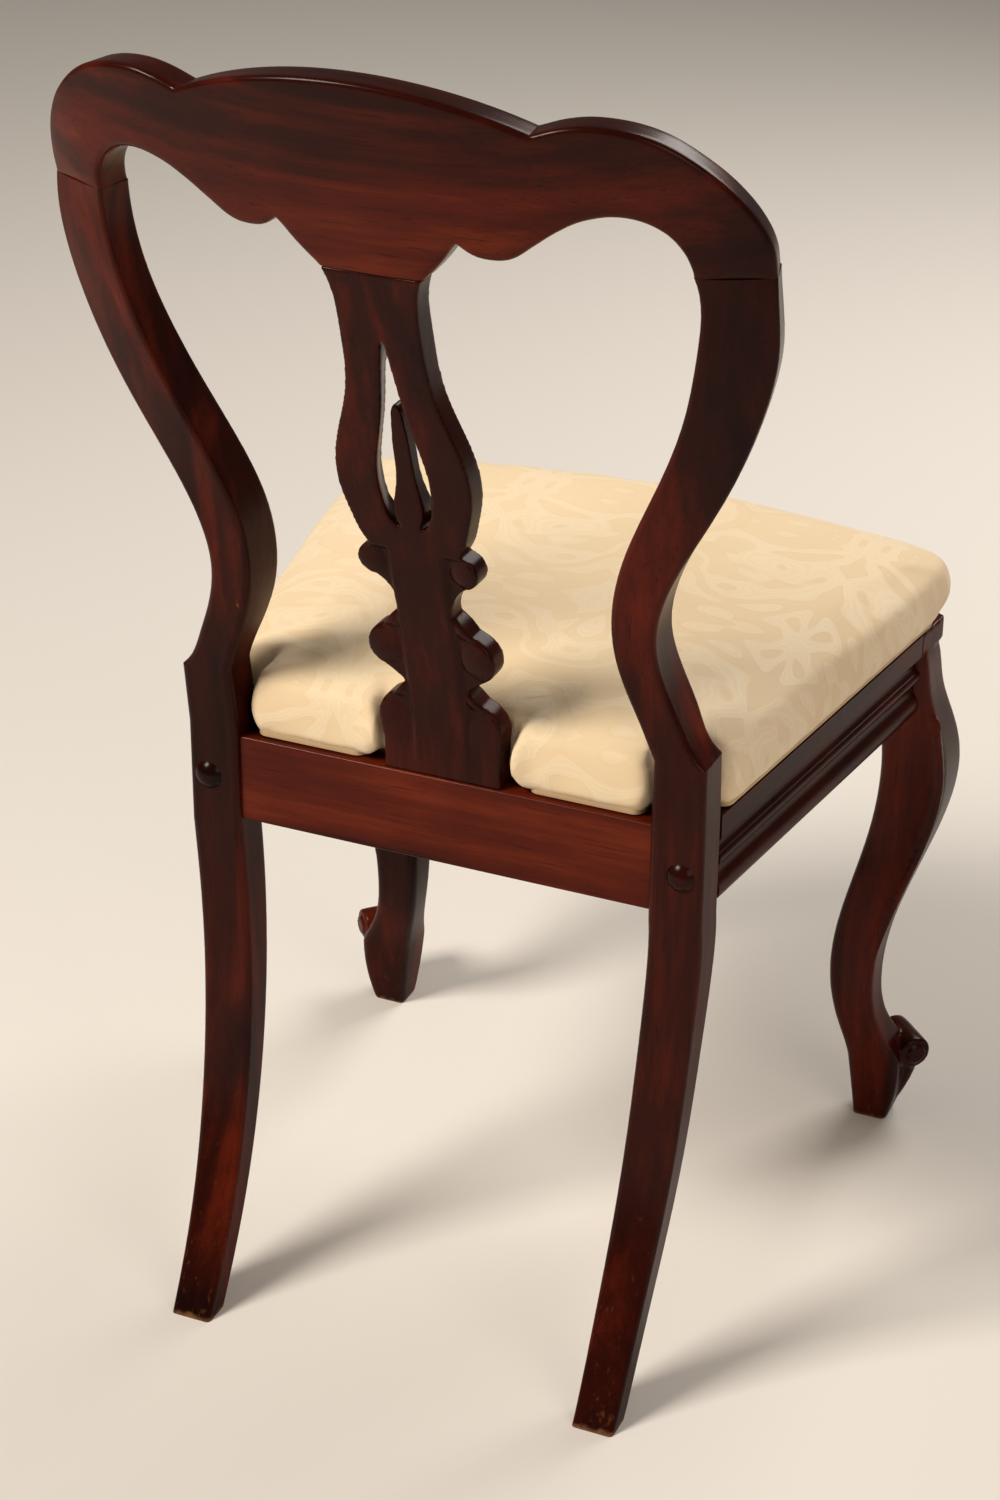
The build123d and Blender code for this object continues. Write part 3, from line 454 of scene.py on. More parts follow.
def neighbours_mean(mesh, values, rounds):
    """Values at the points, each moved half way toward the mean of its neighbours, for some rounds."""
    edges = np.empty(len(mesh.edges) * 2, np.int32)
    mesh.edges.foreach_get("vertices", edges)
    a, b = edges.reshape(-1, 2).T
    count = np.bincount(np.r_[a, b], minlength=len(values)).astype(float)[:, None]
    for _ in range(rounds):
        total = np.zeros_like(values)
        np.add.at(total, a, values[b])
        np.add.at(total, b, values[a])
        values = (values + total / count) / 2
    return values


print("meshes go to arrays and back")

# %% [markdown]
# ## The crest rail
# The crest is a bowed board, sawn to an outline and then worked by hand. It bends round a wide circle in
# plan and round a tighter one over the posts, and it leans back. The outline is drawn on the plane of the
# joints and spreads with the distance behind it, as a saw held at a slant cuts it. Underneath it sweeps
# down from each opening to a soft lobe and turns back up to a sharp notch beside the splat. Beveling the
# solid's edges would keep its stiff lines, so the piece is made again as rings round the outline: a quarter
# round, the sawn side, another quarter round, and a filled face in front and behind.

# %% Crest: its sizes
# The bow in plan: the radii of its wide and its tight part, and the angle where one gives way to the other
BOW_RADIUS = 0.620
END_RADIUS = 0.150
BOW_TURN = 0.3125
# The board's thickness, and the radius of its rolled edges along the crest and where it meets a post
CREST_DEPTH = 0.026
CREST_ROLL = 0.0042
JOINT_ROLL = 0.0025
# How far it leans back per metre of height, and where the joints and the middle of its rear face lie
LEAN = math.tan(math.radians(19.2))
JOINT_Z = 0.817
JOINT_Y = 0.2052
CREST_Y = 0.2461
# From the joints' plane forward to the point that the outline spreads from
SAW_DISTANCE = 0.797
# One half of the outline on the joints' plane, as distance from the middle and rise over the joint
UNDERSIDE = ((0.0545, 0.0105), (0.0600, 0.0058), (0.0660, 0.0028), (0.0730, 0.0018), (0.0810, 0.0024),
             (0.0885, 0.0056), (0.0985, 0.0137), (0.1120, 0.0243), (0.1260, 0.0326), (0.1430, 0.0370),
             (0.1590, 0.0352), (0.1730, 0.0276), (0.1825, 0.0160), (0.1872, 0.0050), (0.1880, -0.0002))
NECK = ((0.0325, -0.0170), (0.0390, -0.0100), (0.0455, -0.0020), (0.0500, 0.0045), (0.0545, 0.0105))
SHOULDER = ((0.2364, -0.0002), (0.2345, 0.0150), (0.2285, 0.0300), (0.2175, 0.0470), (0.2010, 0.0650),
            (0.1780, 0.0825), (0.1570, 0.0912), (0.1352, 0.0940), (0.1180, 0.0917), (0.1019, 0.0860))
ARCH_RISE = 0.108
# Spacing of the points along the outline and inside its faces
STEP = 0.0025
FACE_GRID = 0.005
print("the crest spans", round(2 * SHOULDER[0][0], 3), "m over its joints")

# %% [markdown]
# The curve through a few points is a run of cubics. Where the bow puts a point depends on how far the
# outline has spread, and the spread depends on the bow, so the two are worked out in turn until they
# settle.

# %% Crest: its curves
def through(points):
    """A smooth curve through points: on each stretch a cubic whose slopes come from the neighbours."""
    p = np.array(points)
    slopes = np.gradient(p, axis=0)
    slopes[0], slopes[-1] = p[1] - p[0], p[-1] - p[-2]
    curve = []
    for a, b, da, db in zip(p[:-1], p[1:], slopes[:-1], slopes[1:]):
        count = max(2, int(np.linalg.norm(b - a) / STEP))
        t = np.linspace(0, 1, count, endpoint=False)[:, None]
        curve.append(a * (2 * t**3 - 3 * t**2 + 1) + da * (t**3 - 2 * t**2 + t) + b * (3 * t**2 - 2 * t**3)
                     + db * (t**3 - t**2))
    return np.vstack(curve + [p[-1:]])


def bow(x, set_in):
    """How far a face of the bowed crest lies forward of the middle of its rear face.

    In plan the face is an arc of the wide radius, and beyond the turn an arc of the tight one that goes on
    from it without a kink. A face that is set in from the rear one has both radii shorter by as much."""
    x = np.abs(x)
    wide, tight = BOW_RADIUS - set_in, END_RADIUS - set_in
    end_x = (BOW_RADIUS - END_RADIUS) * math.sin(BOW_TURN)
    end_y = BOW_RADIUS - (BOW_RADIUS - END_RADIUS) * math.cos(BOW_TURN)
    middle = BOW_RADIUS - np.sqrt(wide**2 - x**2)
    side = end_y - np.sqrt(np.maximum(tight**2 - (x - end_x)**2, 0))
    return np.where(x < wide * math.sin(BOW_TURN), middle, side)


def on_crest(flat, depth):
    """Places on the joints' plane taken to a depth below the crest's rear face: rise leans them back, the bow
    brings them forward, and the slant of the saw spreads them sideways."""
    spread_x, rise = flat[:, 0], flat[:, 1]
    x = spread_x
    for _ in range(6):
        y = CREST_Y - bow(x, depth) + rise * LEAN
        x = spread_x * (1 + (y - JOINT_Y) / SAW_DISTANCE)
    return np.stack([x, y, JOINT_Z + rise], 1)


def inside(outline, places):
    """Which places lie inside a closed outline, by counting the sides that a level line crosses."""
    a, b = outline, np.roll(outline, -1, 0)
    x, y = places[:, :1], places[:, 1:]
    crossing = (a[:, 1] > y) != (b[:, 1] > y)
    height = np.where(a[:, 1] == b[:, 1], 1, b[:, 1] - a[:, 1])
    reach = a[:, 0] + (b[:, 0] - a[:, 0]) * (y - a[:, 1]) / height
    return (crossing & (x < reach)).sum(1) % 2 == 1


def filled(outline):
    """Triangles that fill an outline, with a grid of more points inside so that a bent face stays smooth."""
    low, high = outline.min(0), outline.max(0)
    steps = [np.arange(start, end, FACE_GRID) for start, end in zip(low, high)]
    grid = np.stack(np.meshgrid(*steps), -1).reshape(-1, 2)
    grid = grid[inside(outline, grid)]
    gap = np.linalg.norm(grid[:, None] - outline[None], axis=2).min(1)
    grid = grid[gap > FACE_GRID * 0.45]
    sides = [(i, (i + 1) % len(outline)) for i in range(len(outline))]
    points = [Vector(row) for row in np.vstack([outline, grid]).tolist()]
    places, _, faces, origins, _, _ = delaunay_2d_cdt(points, sides, [], 1, 1e-7)
    assert [o[0] for o in origins] == list(range(len(points))), "the outline crosses itself"
    return np.array([tuple(p) for p in places])[len(outline):], np.array([tuple(f) for f in faces])


def crest_outline():
    """The outline as (places, inward directions, roll radii) all round, starting beside the splat.

    The arch on top is a circle through the two shoulders. At a joint the outline stops at the post, so the
    inward direction there lies flat."""
    corner = np.array(SHOULDER[-1])
    drop = ARCH_RISE - corner[1]
    radius = (corner[0]**2 + drop**2) / (2 * drop)
    turns = np.linspace(math.asin(corner[0] / radius), 0, 42)
    arch = np.stack([radius * np.sin(turns), ARCH_RISE - radius * (1 - np.cos(turns))], 1)
    neck, underside, shoulder = through(NECK), through(UNDERSIDE), through(SHOULDER)
    half = np.vstack([neck[:-1], underside, shoulder[:-1], arch])
    along = np.gradient(half, axis=0)
    along /= np.linalg.norm(along, axis=1)[:, None]
    inward = np.stack([-along[:, 1], along[:, 0]], 1)
    inner_joint = len(neck) + len(underside) - 2
    inward[0], inward[inner_joint], inward[inner_joint + 1] = (-1, 0), (1, 0), (-1, 0)
    inward[-1] = (0, -1)
    from_joint = np.clip(half[:, 1] / 0.02, 0, 1)
    at_post = half[:, 0] > 0.17
    roll = np.where(at_post, JOINT_ROLL + (CREST_ROLL - JOINT_ROLL) * from_joint, CREST_ROLL)
    mirror = np.array([-1, 1])
    places = np.vstack([half, half[-2::-1] * mirror])
    return places, np.vstack([inward, inward[-2::-1] * mirror]), np.r_[roll, roll[-2::-1]]


# %% [markdown]
# The rings are laid from the rear face to the front one. Each ring joins the next with four-sided faces,
# and the first and the last are closed by the filled outline.

# %% Crest: the piece
def crest_rings():
    """The rings as (places on the joints' plane, depths below the rear face), from the rear to the front."""
    places, inward, roll = crest_outline()
    rolled = []
    for turn in np.linspace(0, math.pi / 2, 6):
        drawn_in = roll * (1 - math.sin(turn))
        rolled.append((places + inward * drawn_in[:, None], roll * (1 - math.cos(turn))))
    sawn = [(places, roll + (CREST_DEPTH - 2 * roll) * share) for share in (0.25, 0.5, 0.75)]
    return rolled + sawn + [(flat, CREST_DEPTH - depth) for flat, depth in reversed(rolled)]


def carve_crest():
    """The rings joined by quads, and a filled face on the first and the last."""
    rings = crest_rings()
    count = len(rings[0][0])
    points = [on_crest(flat, depth) for flat, depth in rings]
    faces = []
    for ring in range(len(rings) - 1):
        a = np.arange(count) + ring * count
        b = np.roll(np.arange(count), -1) + ring * count
        faces += np.stack([a, a + count, b + count, b], 1).tolist()
    total = len(rings) * count
    ends = ((rings[0][0], 0.0, 0, 1), (rings[-1][0], CREST_DEPTH, total - count, -1))
    for flat, depth, first, order in ends:
        extra, triangles = filled(flat)
        points.append(on_crest(extra, depth))
        triangles = np.where(triangles < count, triangles + first, triangles - count + total)
        total += len(extra)
        faces += triangles[:, ::order].tolist()
    piece = new_piece("carved_crest", np.vstack(points), faces)
    piece.data.materials.append(crest_wood)
    return piece


crest = carve_crest()
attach(crest, "root")
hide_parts("crest_rail")
print("crest of", len(crest.data.polygons), "faces")

# %% [markdown]
# ## Carving by adding clay
# A carved leg or splat is more than its sections. The joiner's solid is taken as a block, beads and scrolls
# are laid on it as tubes, and a voxel remesh melts all of it into one skin, which is then smoothed a
# little. What a gouge would take away afterwards is a displacement of that skin. Modelling the same ridges
# into the solid's own faces would leave a seam round each of them.

# %% Clay
TUBE_SIDES = 12


def closed_rings(points):
    """Triangles between rings of points, and a fan round the middle of each end."""
    n = len(points)
    i = np.arange(TUBE_SIDES)
    after = (i + 1) % TUBE_SIDES
    start = np.arange(0, n - TUBE_SIDES, TUBE_SIDES)[:, None]
    low, low_after = (start + i).ravel(), (start + after).ravel()
    walls = [np.stack([low, low_after + TUBE_SIDES, low_after], 1),
             np.stack([low, low + TUBE_SIDES, low_after + TUBE_SIDES], 1)]
    first = np.stack([np.full(TUBE_SIDES, n), i, after], 1)
    last = np.stack([np.full(TUBE_SIDES, n + 1), after + n - TUBE_SIDES, i + n - TUBE_SIDES], 1)
    middles = [points[:TUBE_SIDES].mean(0), points[-TUBE_SIDES:].mean(0)]
    return np.vstack([points, middles]), np.vstack(walls + [first, last])


def tube(path, radii):
    """A closed tube along a path: a circle at each of its points, square to the path, of its own radius."""
    along = np.gradient(path, axis=0)
    along /= np.linalg.norm(along, axis=1)[:, None]
    side = np.cross(along, (0.37, 0.61, 0.70))
    side /= np.linalg.norm(side, axis=1)[:, None]
    other = np.cross(along, side)
    turn = np.linspace(0, 2 * math.pi, TUBE_SIDES, endpoint=False)
    ring = np.cos(turn)[None, :, None] * side[:, None] + np.sin(turn)[None, :, None] * other[:, None]
    return closed_rings((path[:, None] + ring * radii[:, None, None]).reshape(-1, 3))


def melted(name, shapes, voxel):
    """Overlapping closed shapes, each (points, triangles), as one skin of even squares."""
    starts = np.cumsum([0] + [len(points) for points, _ in shapes])
    faces = np.vstack([triangles + start for (_, triangles), start in zip(shapes, starts)])
    piece = new_piece(name, np.vstack([points for points, _ in shapes]), faces.tolist())
    remesh = piece.modifiers.new("even", "REMESH")
    remesh.mode = "VOXEL"
    remesh.voxel_size = voxel
    apply_modifiers(piece)
    return piece


def solid(name):
    """The joiner's solid of a part as (points, triangles)."""
    mesh = nodes[name].data
    return points_of(mesh), triangles_of(mesh)


print("clay is ready")

# %% [markdown]
# ## The front legs
# A cabriole leg swells at the knee and ends in a scrolled toe. Its two outer edges carry a bead that starts
# in a small ear under the rail and dies out above the ankle. The beads, the ears and the fuller back of the
# scroll are tubes, and one leg serves both sides: the other is its mirror image, with its faces turned
# round.

# %% Front legs: beads and scrolls
# The middle of the left leg's section at its foot and under the rail
NECK_X, NECK_Y = 0.206, -0.2173
# Height, outward shift and width of the leg's square section, from above the ankle to the knee
LEG_ROWS = np.array([(0.130, -0.0167, 0.0340), (0.170, -0.0135, 0.0370), (0.206, -0.0050, 0.0405),
                     (0.243, 0.0052, 0.0450), (0.280, 0.0120, 0.0490), (0.312, 0.0128, 0.0490),
                     (0.340, 0.0090, 0.0455)])
# The bead's radius, what is left of it at its end, and how far inside the leg's edge it runs
BEAD = 0.0027
BEAD_END = 0.0004
BEAD_INSET = 0.0020
# The ear's spiral: its turns, its radius at the start and how much of that it loses
EAR_TURNS = 1.6
EAR = 0.0082
EAR_TIGHTENING = 0.0050
# The scroll of the toe: its middle, how far its eyes lie from that, and the rim round each eye
TOE = np.array([NECK_X + 0.0155, NECK_Y - 0.0155, 0.057])
EYE_OUT = 0.0172
RIM_RADIUS = 0.0104
RIM = 0.0026
# The scroll's heading, outward along the leg's diagonal, and the direction of its roll
HEADING = np.array([1, -1, 0]) / math.sqrt(2)
ALONG_ROLL = np.array([1, 1, 0]) / math.sqrt(2)
LEG_VOXEL = 0.0014


def smoothed(row):
    """Each value's mean with the four before and the four after it."""
    return np.convolve(np.pad(row, 4, "edge"), np.ones(9) / 9, "valid")


def leg_beads():
    """A bead down each outer edge of the leg and an ear on top of it: a flat spiral that tightens."""
    heights = np.linspace(LEG_ROWS[0, 0], LEG_ROWS[-1, 0], 50)
    outward = smoothed(np.interp(heights, LEG_ROWS[:, 0], LEG_ROWS[:, 1]))
    half = smoothed(np.interp(heights, LEG_ROWS[:, 0], LEG_ROWS[:, 2]) / 2 - BEAD_INSET)
    radii = BEAD * ease(heights, heights[0], heights[0] + 0.06) + BEAD_END
    turn = np.linspace(0, EAR_TURNS * 2 * math.pi, 60)
    spread = EAR - EAR_TIGHTENING * turn / turn[-1]
    shapes = []
    for side, across in ((1, np.array([1, 0, 0])), (-1, np.array([0, 1, 0]))):
        path = np.stack([NECK_X + outward + half * side, NECK_Y - outward + half * side, heights], 1)
        shapes.append(tube(path, radii))
        ear = path[-1] + np.array([0, 0, 0.004]) - across * side * 0.0060
        spiral = np.outer(np.sin(turn) * spread, (0, 0, 1)) - np.outer(np.cos(turn) * spread, across) * side
        shapes.append(tube(ear + spiral, np.linspace(0.0026, 0.0018, len(turn))))
    return shapes


def leg_toe():
    """The scroll's fuller back, three tubes that flow down into the foot, and a rim round each eye."""
    drop = np.linspace(0, 1, 14)
    foot = np.array([NECK_X, NECK_Y, 0.010]) + HEADING * 0.004
    path = TOE + (foot - TOE) * drop[:, None] + HEADING * 0.004 * np.sin(drop * math.pi)[:, None]
    shapes = [tube(path + ALONG_ROLL * aside, 0.0108 - 0.0040 * drop) for aside in (-0.007, 0, 0.007)]
    turn = np.linspace(0, 2 * math.pi, 30)
    rim = RIM_RADIUS * (np.outer(np.cos(turn), HEADING) + np.outer(np.sin(turn), (0, 0, 1)))
    for end in (1, -1):
        shapes.append(tube(TOE + ALONG_ROLL * EYE_OUT * end + rim, np.full(len(turn), RIM)))
    return shapes


carving = leg_beads() + leg_toe()
print(len(carving), "tubes on each leg")


# %% Front legs: the pieces
def carve_leg(side, name):
    """One leg, side 1 for the left and -1 for the right: the joiner's solid with its carving melted on,
    smoothed a little and flat on the floor."""
    mirror = np.array([side, 1, 1])
    shapes = [solid(name)] + [(points * mirror, faces[:, ::side]) for points, faces in carving]
    piece = melted("carved_" + name, shapes, LEG_VOXEL)
    points = neighbours_mean(piece.data, points_of(piece.data), 2)
    points[:, 2] = np.maximum(points[:, 2], 0)
    put_back(points, piece.data)
    shade_smooth(piece.data)
    piece.data.materials.append(leg_wood)
    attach(piece, "root")
    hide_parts(name)
    return piece


for side, name in ((1, "front_leg_left"), (-1, "front_leg_right")):
    leg = carve_leg(side, name)
print("each leg has", len(leg.data.polygons), "faces")

# %% [markdown]
# ## The splat
# The splat is a thin board, pierced by a drop-shaped opening with a flame in it. Below that its edges are
# sawn into lobes, which are cut back beside a flat strip and worked into rolls round their eyes. All of
# this is a few millimetres deep, so it is a displacement of the melted solid: each point moves by a height
# that depends on its distance from the strip, from an eye or from the wall of the drop.

# %% Splat: its sizes
RAIL_TOP = 0.420
# The rise that the shares below are shares of, and half the width of the flat strip
SPLAT_RISE = 0.380
STRIP = 0.0190
# Depth of the ground beside the strip, and how far a roll rises from it
GROUND = -0.0035
ROLL_RISE = 0.0032
# The rolls' eyes: distance from the middle, share of the rise, radius
ROLLS = ((0.0335, 0.440, 0.0120), (0.0260, 0.322, 0.0085), (0.0350, 0.258, 0.0155), (0.0275, 0.172, 0.0085),
         (0.0350, 0.095, 0.0170))
# Shares of its width and thickness that the flame loses, and how far the drop's wall flares toward the front
FLAME_SLIMMING = 0.12
FLAME_THINNING = 0.45
DROP_FLARE = 0.0045
SPLAT_VOXEL = 0.0012
# Half widths of the flame and of the drop round it, each at a share of the rise
FLAME = ((0.515, 0.0055), (0.578, 0.0096), (0.630, 0.0069), (0.680, 0.0063), (0.722, 0.0048), (0.757, 0.0))
DROP = ((0.52, 0.0080), (0.567, 0.0164), (0.625, 0.0172), (0.72, 0.0098), (0.83, 0.0033), (0.892, 0.0))
print(len(ROLLS), "rolls on each side of the splat")


# %% Splat: the piece
def depth_in(points):
    """How deep in the splat each point lies, 0 at its rear face and 1 at its front, and the middle there.

    The rear and front faces are the rearmost and foremost points in a band at each height."""
    z = points[:, 2]
    levels = np.arange(RAIL_TOP + 0.005, RAIL_TOP + SPLAT_RISE + 0.012, 0.004)
    bands = [points[np.abs(z - level) < 0.004, 1] for level in levels]
    rear = np.interp(z, levels, [band.max() for band in bands])
    front = np.interp(z, levels, [band.min() for band in bands])
    return np.clip((rear - points[:, 1]) / (rear - front), 0, 1), (rear + front) / 2


def lobe_relief(wide, share):
    """The ground beside the strip and the rolls on it: domes, each a cosine of the distance from its eye."""
    relief = np.full(len(wide), GROUND)
    for eye, eye_share, size in ROLLS:
        far = np.minimum(np.hypot(wide - eye, SPLAT_RISE * (share - eye_share)) / size, 1)
        relief = np.maximum(relief, GROUND + ROLL_RISE * np.cos(far * math.pi / 2)**0.8)
    on_lobe = ease(share, 0.0, 0.17) * (1 - ease(share, 0.462, 0.476))
    return relief * on_lobe * ease(wide, STRIP - 0.0012, STRIP + 0.0012)


def carve_splat():
    """The splat: its lobes worked into rolls, its flame thinned and its drop cut wider toward the front."""
    piece = melted("carved_splat", [solid("splat")], SPLAT_VOXEL)
    points = neighbours_mean(piece.data, points_of(piece.data), 5)
    side, wide = np.sign(points[:, 0]), np.abs(points[:, 0])
    share = (points[:, 2] - RAIL_TOP) / SPLAT_RISE
    depth, middle = depth_in(points)
    points[:, 1] += lobe_relief(wide, share) * (1 - ease(depth, 0.35, 0.8))
    drop_half = np.interp(share, *zip(*DROP))
    flame_half = np.interp(share, *zip(*FLAME))
    in_flame = (wide < (flame_half + drop_half) / 2) & (share > 0.522) & (share < 0.772)
    slim = in_flame * ease(share, 0.522, 0.62)
    points[:, 0] *= 1 - FLAME_SLIMMING * slim
    points[:, 1] += (middle - points[:, 1]) * FLAME_THINNING * slim
    near_wall = ~in_flame * (1 - ease(np.abs(wide - drop_half), 0.0005, 0.0090))
    near_wall *= ease(share, 0.50, 0.56) * (1 - ease(share, 0.80, 0.90))
    points[:, 0] += side * near_wall * ease(depth, 0.1, 0.9) * DROP_FLARE
    put_back(points, piece.data)
    shade_smooth(piece.data)
    piece.data.materials.append(splat_wood)
    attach(piece, "root")
    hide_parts("splat")
    return piece


splat = carve_splat()
print("splat of", len(splat.data.polygons), "faces")

# %% [markdown]
# ## The seat pad
# The pad is foam on a board, pulled tight under a damask cover. Its sides stand almost straight beside the
# rails and roll over into a low crown, with notches round the posts and the foot of the splat. The stuffing
# and the board are melted into one skin of even squares, and that skin is blown up a little as cloth: it
# swells between the notches and tightens over the edges the way stuffing does, which no swept surface gets
# right.

# %% Pad: stuffed and blown up
PAD_VOXEL = 0.0042
# How far the skin may swell, and how many frames it has for it
SWELL = 0.0035
FRAMES = 20
PAD_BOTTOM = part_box("seat_cover")[0][2]
PAD_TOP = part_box("seat_cover")[1][2]


def blow_up(skin):
    """Cloth under pressure for some frames, with the underside held and no point moving beyond the swell."""
    rest = points_of(skin.data)
    held = skin.vertex_groups.new(name="held")
    low = np.flatnonzero(rest[:, 2] < PAD_BOTTOM + 0.006)
    held.add(low.tolist(), 1.0, "REPLACE")
    cloth = skin.modifiers.new("cloth", "CLOTH")
    cloth.settings.quality = 6
    cloth.settings.mass = 0.3
    cloth.settings.tension_stiffness = 25
    cloth.settings.compression_stiffness = 25
    cloth.settings.bending_stiffness = 0.6
    cloth.settings.use_pressure = True
    cloth.settings.uniform_pressure_force = 4
    cloth.settings.effector_weights.gravity = 0
    cloth.settings.vertex_group_mass = "held"
    cloth.collision_settings.use_collision = False
    for frame_number in range(1, FRAMES + 1):
        scene.frame_set(frame_number)
    apply_modifiers(skin)
    scene.frame_set(1)
    moved = points_of(skin.data) - rest
    length = np.linalg.norm(moved, axis=1)[:, None]
    moved *= np.minimum(1, SWELL / np.maximum(length, 1e-9))
    print("pad swelled by up to", round(float(length.max()) * 1000, 1), "mm")
    put_back(rest + moved, skin.data)


pad = melted("seat_pad", [solid("seat_foam"), solid("seat_board")], PAD_VOXEL)
blow_up(pad)
print("pad skin of", len(pad.data.polygons), "squares")

# %% [markdown]
# The joiner's foam has a roomy notch for the splat and keeps inside the rails. The real cover is drawn in
# close beside the splat and stands out over the rails toward the front, so both are pulled into shape
# afterwards, and the squares are divided once.

# %% Pad: its notch and its front
# The foam's notch: half its width, and the Y of its front wall
NOTCH_HALF = 0.050
NOTCH_FRONT = 0.095
# How far the front wall moves to the rear and the Y where it stops, and how far each side wall moves in
NOTCH_FILLING = 0.011
NOTCH_STOP = 0.1190
NOTCH_CLOSING = 0.0060
# How far the front corners are stuffed out
STUFFED_OUT = 0.007


def beside_splat(points):
    """The notch drawn in round the foot of the splat: its side walls sideways, its front wall to the rear as
    far as the stop, which keeps it clear of the splat."""
    points = points.copy()
    wide = np.abs(points[:, 0])
    walls = (points[:, 1] > NOTCH_FRONT) * (1 - ease(wide, NOTCH_HALF, NOTCH_HALF + 0.026))
    low = 1 - ease(points[:, 2] - PAD_BOTTOM, 0.001, 0.009)
    front_wall = ease(points[:, 1], NOTCH_FRONT - 0.03, NOTCH_FRONT)
    front_wall *= 1 - ease(wide, NOTCH_HALF - 0.004, NOTCH_HALF + 0.016)
    filled_y = points[:, 1] + front_wall * (NOTCH_FILLING + 0.005 * low)
    stop = np.where(wide < NOTCH_HALF - 0.002, np.maximum(NOTCH_STOP, points[:, 1]), filled_y)
    points[:, 1] = np.minimum(filled_y, stop)
    points[:, 0] -= walls * np.sign(points[:, 0]) * NOTCH_CLOSING
    return points


def fuller_front(points):
    """The front half of the pad stuffed out over the rails: sideways at the corners, forward in front."""
    points = points.copy()
    above = ease(points[:, 2] - PAD_BOTTOM, 0.004, 0.026)
    aside = ease(np.abs(points[:, 0]), 0.09, 0.22) * ease(-points[:, 1], 0.0, 0.15)
    ahead = ease(-points[:, 1], 0.10, 0.24)
    points[:, 0] += np.sign(points[:, 0]) * above * aside * STUFFED_OUT
    points[:, 1] -= above * ahead * STUFFED_OUT * 0.6
    return points


shaped = fuller_front(beside_splat(neighbours_mean(pad.data, points_of(pad.data), 3)))
shaped[:, 2] = np.maximum(shaped[:, 2], PAD_BOTTOM + 0.0004)
put_back(shaped, pad.data)
finer = pad.modifiers.new("finer", "SUBSURF")
finer.levels = 1
finer.render_levels = 1
apply_modifiers(pad)
print("pad of", len(pad.data.polygons), "faces")

# %% [markdown]
# ## Ivory damask
# Damask shows its leaves by turning the weave: the same ivory thread lies warp-up in the figure and weft-up
# in the ground, so the figure is a little lighter and silkier. An attribute on the mesh carries cloth
# coordinates that run over the edge and down the sides, as the cloth does. Object coordinates would draw
# the pattern out into streaks there.

# %% Cloth coordinates
def lay_cloth(mesh):
    """Places on the unrolled cloth: X and Y, plus the outward direction times the drop below the crown."""
    points = points_of(mesh)
    normals = np.empty(len(mesh.vertices) * 3)
    mesh.vertices.foreach_get("normal", normals)
    outward = neighbours_mean(mesh, normals.reshape(-1, 3), 8)[:, :2]
    outward /= np.maximum(np.linalg.norm(outward, axis=1)[:, None], 0.25)
    drop = np.clip(PAD_TOP - 0.012 - points[:, 2], 0, None)[:, None]
    places = np.zeros_like(points)
    places[:, :2] = points[:, :2] + outward * drop
    layer = mesh.attributes.new("cloth", "FLOAT_VECTOR", "POINT")
    layer.data.foreach_set("vector", places.ravel())
    print("the cloth drops", round(float(drop.max()) * 1000), "mm down the sides")


lay_cloth(pad.data)

# %% [markdown]
# The pattern is a generic one of curling leaves. Drawn curves would need a picture or many nodes, while a
# smooth noise already curls: the bands between its level lines are the leaves, and mirror lines make it a
# woven repeat.

# %% Damask
IVORY = (0.860, 0.670, 0.430)
SILK = (0.930, 0.780, 0.560)
SHADE = (0.740, 0.540, 0.310)
# The repeat's width and length, the number of level lines, and the spacing of the ribs and threads
REPEAT = (0.26, 0.34)
LEVEL_LINES = 5.2
RIB = 0.0011
THREAD = 0.0008


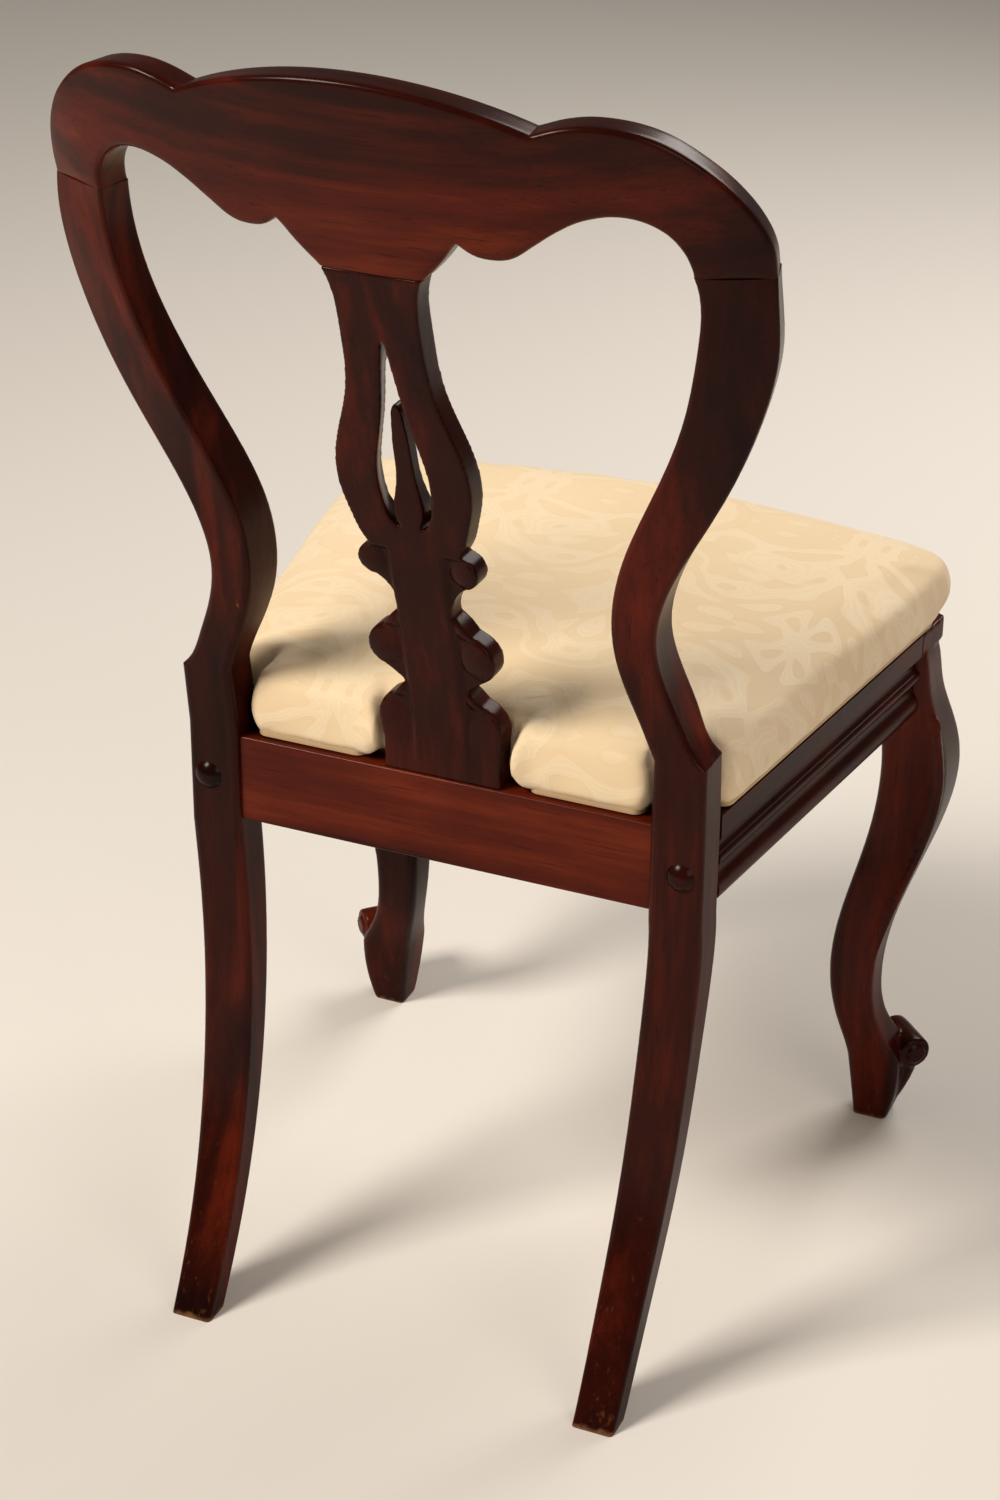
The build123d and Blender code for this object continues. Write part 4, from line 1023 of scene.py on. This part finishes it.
def damask():
    """Ivory cloth with curling leaves that turn over at mirror lines, as a loom weaves them.

    The leaves are bands between the level lines of a smooth noise on the mirrored coordinates. The hatching
    on a leaf is a fine sine of the same noise, so that it curls with the leaf. Ribs and threads are sines of
    the place, and a last noise is the soiling of a seat that has been sat on."""
    cloth = Finish("ivory_damask", Sheen_Weight=0.25, Sheen_Roughness=0.45, Specular_IOR_Level=0.30)
    attribute = cloth.tree.nodes.new("ShaderNodeAttribute")
    attribute.attribute_name = "cloth"
    place = Signal(cloth, attribute.outputs["Vector"])
    x, y, _ = cloth.axes(place)
    across = (x + 0.31).math("PINGPONG", REPEAT[0] / 2)
    down = (y + 0.04).math("PINGPONG", REPEAT[1] / 2)
    tile = cloth.node("ShaderNodeCombineXYZ", {}, {"X": across, "Y": down, "Z": 0.37})
    flow = cloth.noise(tile, 11.5, detail=1.2, roughness=0.4, distortion=1.1)
    curl = cloth.noise(tile, 23, detail=1.0, roughness=0.4, distortion=0.7)
    field = flow + curl * 0.22
    band = (field * LEVEL_LINES).math("PINGPONG", 0.5)
    leaf = band.step(0.20, 0.30)
    rim = band.step(0.16, 0.21) * (1 - leaf)
    hatch = ((field * 190 + curl * 16).math("SINE") * 0.5 + 0.5) * leaf
    rib = (y * (2 * math.pi / RIB)).math("SINE") * 0.5 + 0.5
    thread = (x * (2 * math.pi / THREAD)).math("SINE") * 0.5 + 0.5
    soil = cloth.noise(place, 6, detail=3)
    tone = leaf * 0.10 + hatch * 0.12 - rim * 0.05 + soil * 0.36 + rib * 0.04 + 0.18
    colour = cloth.ramp(tone, (0.05, SHADE), (0.42, IVORY), (0.80, SILK))
    drawn = cloth.node("ShaderNodeMapping", {}, {"Vector": place, "Scale": (0.12, 1, 1)})
    slub = cloth.noise(drawn, 420, detail=3)
    cloth.wear(Base_Color=colour, Roughness=0.72 - leaf * 0.12 + slub * 0.06)
    cloth.bump(rib * 0.22 + thread * 0.2 + leaf * 0.55 + hatch * 0.35 + slub * 0.4, 0.14, 0.0006)
    return cloth.material


pad.data.materials.append(damask())
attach(pad, "root")
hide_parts("seat_cover", "seat_foam")
print("the pad wears damask")
